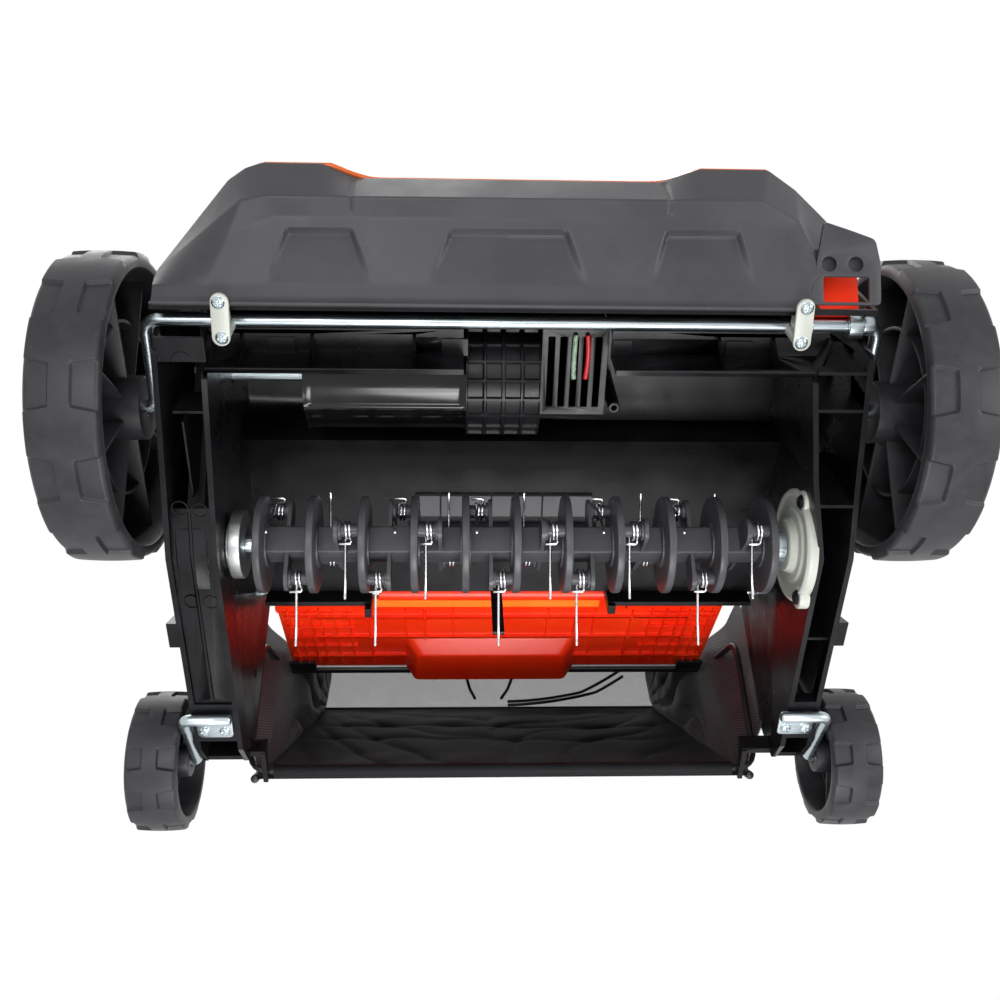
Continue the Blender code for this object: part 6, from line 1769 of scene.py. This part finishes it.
@dataclass
class Handle:
    """Folding handle of powder-coated tube with its knobs."""

    pivot: tuple[float, float] = (0.160, 0.215)
    angle: float = 46.0
    tube: float = 0.0105
    lower_x: float = 0.2068
    upper_x: float = 0.2281
    lower_length: float = 0.440
    length: float = 1.060
    tube_end: float = 0.015
    bend: float = 0.055
    brace: float = 0.008
    brace_back: float = 0.040
    knob_radius: float = 0.017
    knob_length: float = 0.020

    def place(self) -> Matrix:
        """Matrix that leans a part drawn along the handle."""
        return lean(self.angle, *self.pivot)

    def lower(self) -> Shape:
        """Two straight tubes and the brace between them."""
        x, low, high = self.lower_x, -self.tube_end, self.lower_length + self.tube_end
        y = self.lower_length - self.brace_back
        tube = rod(np.linspace((x, low, 0), (x, high, 0), 30), self.tube, (1, 0, 0), 32)
        brace = rod(np.linspace((-x, y, 0), (x, y, 0), 40), self.brace, (0, 0, 1), 24)
        return (both_sides(tube) + brace).placed(self.place())

    def upper(self) -> Shape:
        """U-shaped tube."""
        x, start = self.upper_x, self.lower_length - self.tube_end
        corners = np.array([(-x, start, 0), (-x, self.length, 0), (x, self.length, 0), (x, start, 0)])
        return rod(bent(corners, self.bend, 16), self.tube, (0, 0, 1), 32).placed(self.place())

    def knob(self, side: int, inner: float, outer: float, along: float) -> Shape:
        """Lobed knob: radius R (0.90 + 0.10 cos 6t), eased at both rims and dished on its face."""
        t = np.linspace(0, 2 * np.pi, 120, endpoint=False)[None, :]
        long, r = self.knob_length, self.knob_radius
        profile = np.array((
            (0.0, 0.0), (0.0, 0.55), (
                0.0004, 0.60
            ), (0.0020, 0.66), (0.0040, 0.86), (0.0052, 0.96), (0.0075, 1.0),
            (
                long - 0.004, 1.0
            ), (long - 0.0016, 0.96), (long - 0.0004, 0.88), (long, 0.80), (long - 0.0002, 0.62),
            (long - 0.0022, 0.54), (long - 0.0022, 0.0),
        ))
        lobes = 1 - 0.16 * smoothstep((profile[:, 1:] - 0.6) / 0.3) * (0.5 - 0.5 * np.cos(6 * t))
        reach = profile[:, 1:] * r * lobes
        x = np.broadcast_to(outer + 0.0003 + profile[:, :1], reach.shape)
        head = net(np.stack((x, along + reach * np.cos(t), reach * np.sin(t)), axis=-1), False, True)
        bolt = [
            (
                inner - 0.005, 0.0001
            ), (inner - 0.005, 0.0068), (inner - 0.0003, 0.0072), (inner - 0.0003, 0.004),
            (outer + 0.002, 0.004), (outer + 0.002, 0.0001),
        ]
        whole = head + turned(bolt, along, 0, 28, 0.0004, 2)
        return (whole if side > 0 else whole.mirrored()).placed(self.place())

    def build(self, shop: Workshop) -> None:
        """Make tubes and knobs."""
        shop.add(
            "lower_handle_tubes", self.lower(), POWDER_BLACK, "lower_handle", ("lower_handle",), smooth=45
        )
        shop.add(
            "upper_handle_tube", self.upper(), POWDER_BLACK, "upper_handle", ("upper_handle",), smooth=45
        )
        for side, word in ((-1, "left"), (1, "right")):
            ear = self.lower_x - self.tube - 0.0003 - 0.004
            low = self.knob(side, ear, self.lower_x + self.tube, 0.0)
            shop.add(
                f"pivot_knob_{word}_grip", low, DECK_BLACK, f"pivot_knob_{word}", (f"pivot_knob_{word}",),
                smooth=40
            )
            top = self.knob(side, self.lower_x - self.tube, self.upper_x + self.tube, self.lower_length)
            shop.add(
                f"fold_knob_{word}_grip", top, FLAP_RED, f"fold_knob_{word}", (f"fold_knob_{word}",),
                smooth=40
            )


@dataclass
class Switch:
    """Switch box with its bail and safety button."""

    handle: Handle
    place_s: float = 0.960
    inner_x: float = 0.1049
    half_length: float = 0.044
    high: float = 0.024
    bail_radius: float = 0.004
    bail_arm: float = 0.098
    bail_angle: float = 40.0
    bail_left: float = -0.190
    bail_right: float = 0.0939
    button_x: float = 0.1599
    button_radius: float = 0.008
    button_proud: float = 0.006

    def bail(self) -> Shape:
        """Wire bow of the switch lever."""
        a = math.radians(self.bail_angle)
        s, n = self.place_s + self.bail_arm * math.cos(a), self.bail_arm * math.sin(a)
        path = np.array((
            (
                self.inner_x + 0.013, self.place_s, 0
            ), (self.bail_right, self.place_s, 0), (self.bail_right, s, n),
            (
                self.bail_left, s, n
            ), (self.bail_left, self.place_s, 0), (-self.handle.upper_x + 0.003, self.place_s, 0),
        ))
        square = (0.02, -math.sin(a), math.cos(a))
        return rod(bent(path, 0.011, 10), self.bail_radius, square, 24).placed(self.handle.place())

    def lathe(self, profile: Sequence, closed: bool) -> Shape:
        """Profile of (height, radius) turned round the button's axis."""
        n, reach = np.array(profile).T[:, :, None]
        t = np.linspace(0, 2 * np.pi, 48, endpoint=False)
        x, s = self.button_x + reach * np.cos(t), self.place_s + reach * np.sin(t)
        return net(np.stack(np.broadcast_arrays(x, s, n), axis=-1), closed, True)

    def button(self) -> Shape:
        """Round button with a domed top."""
        r, low, top = self.button_radius, self.high - 0.0057, self.high + self.button_proud
        profile = (
            (low, 0.0), (low, r), (top - 0.0022, r), (top - 0.0008, r - 0.0007), (top - 0.0001, r - 0.0024),
            (top, 0.0),
        )
        return self.lathe(profile, False).placed(self.handle.place())

    def trim(self) -> Shape:
        """Raised collar round the button, and the inlet's pins."""
        r, h = self.button_radius, self.high
        profile = (
            (h - 0.001, r + 0.0008), (h + 0.0016, r + 0.0008), (h + 0.0020, r + 0.0016),
            (h + 0.0016, r + 0.0032), (h - 0.001, r + 0.0036),
        )
        low = self.place_s - self.half_length
        pins = joined(
            prism(circle(self.button_x + d, 0.0, 0.0020, 20), low - 0.002, low + 0.0085, Axis.Y)
            for d in (-0.007, 0.007)
        )
        return (self.lathe(profile, True) + pins).placed(self.handle.place())

    def build(self, shop: Workshop) -> None:
        """Make the box, bail and button."""
        shop.refine("switch_box", DECK_BLACK, "upper_handle", 0.0012)
        shop.add("switch_box_trim", self.trim(), DECK_BLACK, "upper_handle", smooth=40)
        shop.add("switch_bail_wire", self.bail(), FLAP_RED, "bail", ("switch_bail",), smooth=45)
        shop.add("safety_button_cap", self.button(), FLAP_RED, "button", ("safety_button",), smooth=40)


@dataclass
class Studio:
    """White floor and background with soft boxes, and the camera of the photograph."""

    location: tuple[float, float, float] = (-0.0360, -0.679519, -0.5345)
    lens: float = 38.04
    right: tuple[float, float, float] = (0.99921992, -0.0222483, -0.03262774)
    up: tuple[float, float, float] = (-0.00276944, -0.86364577, 0.50409157)
    back: tuple[float, float, float] = (-0.03939399, -0.50360797, -0.86303367)

    def camera(self) -> None:
        """Camera below the machine that looks up at it."""
        data = bpy.data.cameras.new("photo_camera")
        data.sensor_width, data.lens, data.clip_start = 36.0, self.lens, 0.01
        camera = new_object("photo_camera", data)
        turn = Matrix((self.right, self.up, self.back)).transposed().to_4x4()
        camera.matrix_world = Matrix.Translation(self.location) @ turn
        bpy.context.scene.camera = camera

    def floor(self) -> None:
        """White floor that is clear from below, so that the photograph's view from underneath stays open."""
        reach, level = 30.0, -0.0006
        mesh = bpy.data.meshes.new("studio_floor")
        plane = [(x * reach, y * reach, level) for x, y in ((-1, -1), (1, -1), (1, 1), (-1, 1))]
        mesh.from_pydata(plane, [], [(0, 1, 2, 3)])
        floor = new_object("studio_floor", mesh)
        material = bpy.data.materials.new("white_studio_floor")
        material.use_nodes = True
        tree = material.node_tree
        tree.nodes.clear()
        white = add_node(tree, "BsdfDiffuse", {"Color": (0.93, 0.93, 0.93, 1.0)}).outputs[0]
        clear = add_node(tree, "BsdfTransparent").outputs[0]
        camera = add_node(tree, "LightPath").outputs["Is Camera Ray"]
        geometry = add_node(tree, "NewGeometry").outputs
        front = add_node(tree, "Math", {0: 1.0, 1: geometry["Backfacing"]}, operation="SUBTRACT").outputs[0]
        seen = add_node(tree, "Math", {0: camera, 1: front}, operation="MULTIPLY").outputs[0]
        far = add_node(tree, "VectorMath", {0: geometry["Position"]}, operation="LENGTH").outputs["Value"]
        fade = {"Value": far, "From Min": 0.8, "From Max": 3.5, "To Min": 0.25, "To Max": 0.7}
        glow = add_node(
            tree, "Emission", {"Strength": add_node(tree, "MapRange", fade).outputs[0]}
        ).outputs[0]
        pale = add_node(tree, "AddShader", {0: white, 1: glow}).outputs[0]
        mix = add_node(tree, "MixShader", {0: seen, 1: clear, 2: pale}).outputs[0]
        add_node(tree, "OutputMaterial", {"Surface": mix})
        mesh.materials.append(material)
        floor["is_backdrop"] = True

    def world(self) -> None:
        """White to the camera and in reflections, softer as a light."""
        world = bpy.data.worlds.new("studio")
        world.use_nodes = True
        tree = world.node_tree
        tree.nodes.clear()
        rays = add_node(tree, "LightPath").outputs
        seen = rays["Is Camera Ray"]
        for ray in ("Is Transmission Ray", "Is Glossy Ray"):
            seen = add_node(tree, "Math", {0: seen, 1: rays[ray]}, operation="MAXIMUM").outputs[0]
        level = add_node(tree, "MapRange", {"Value": seen, "To Min": 0.5, "To Max": 1.0}).outputs[0]
        light = add_node(tree, "Background", {"Color": (1.0, 1.0, 1.0, 1.0), "Strength": level}).outputs[0]
        add_node(tree, "OutputWorld", {"Surface": light})
        bpy.context.scene.world = world

    def lamp(
        self, name: str, place: Sequence[float], target: Sequence[float], size: float, power: float,
        spread: float = 180.0,
    ) -> None:
        """Soft box that looks at a point, with a grid in front where its spread is narrow."""
        data = bpy.data.lights.new(name, "AREA")
        data.shape, data.size, data.energy, data.spread = "SQUARE", size, power, math.radians(spread)
        lamp = new_object(name, data)
        lamp.location = place
        lamp.rotation_euler = (Vector(target) - Vector(place)).to_track_quat("-Z", "Y").to_euler()
        lamp.visible_camera = False
        lamp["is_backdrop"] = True

    def build(self) -> None:
        """Set the stage."""
        self.camera()
        self.floor()
        self.world()
        self.lamp("under_softbox", (0.15, 0.20, -1.35), (0.0, -0.15, 0.12), 0.55, 12.0)
        self.lamp("key_softbox", (-0.30, -1.30, -1.05), (0.0, -0.2, 0.12), 0.60, 8.0)
        self.lamp("fill_softbox", (1.2, -0.9, -0.6), (0.0, -0.2, 0.12), 0.60, 8.0)
        self.lamp("flap_softbox", (0.0, -0.12, -0.80), (0.0, -0.12, 0.14), 0.35, 0.42, 45.0)
        self.lamp("overhead_softbox", (-0.4, -0.6, 2.6), (0.0, 0.0, 0.3), 1.8, 34.0)
        bpy.context.scene.view_settings.view_transform = "Standard"


def corners(bounds: tuple[Vector, Vector]) -> list[list[float]]:
    """Lowest and highest corner as plain lists."""
    return [[float(c) for c in corner] for corner in bounds]


def main() -> None:
    """Build each sub-assembly in order."""
    logging.basicConfig(level=logging.INFO, format="%(message)s")
    shop = Workshop()
    sizes = {"cad": corners(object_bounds())}
    handle = Handle()
    assemblies = (
        Nose(), Cover(), Deck(), FrontAxle(), RearAxle(), Motor(), TineRoller(),
        Wheel("front_wheel", 0.100, 0.043, 0.2385, 0.0, 11, 8),
        Wheel("rear_wheel", 0.050, 0.036, 0.232, 0.263, 10, 6),
        Flap(), Bag(), handle, Switch(handle),
    )
    for assembly in assemblies:
        LOG.info("building %s", type(assembly).__name__)
        assembly.build(shop)
    Studio().build()
    sizes["visual"] = corners(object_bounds())


if __name__ == "__main__":
    main()
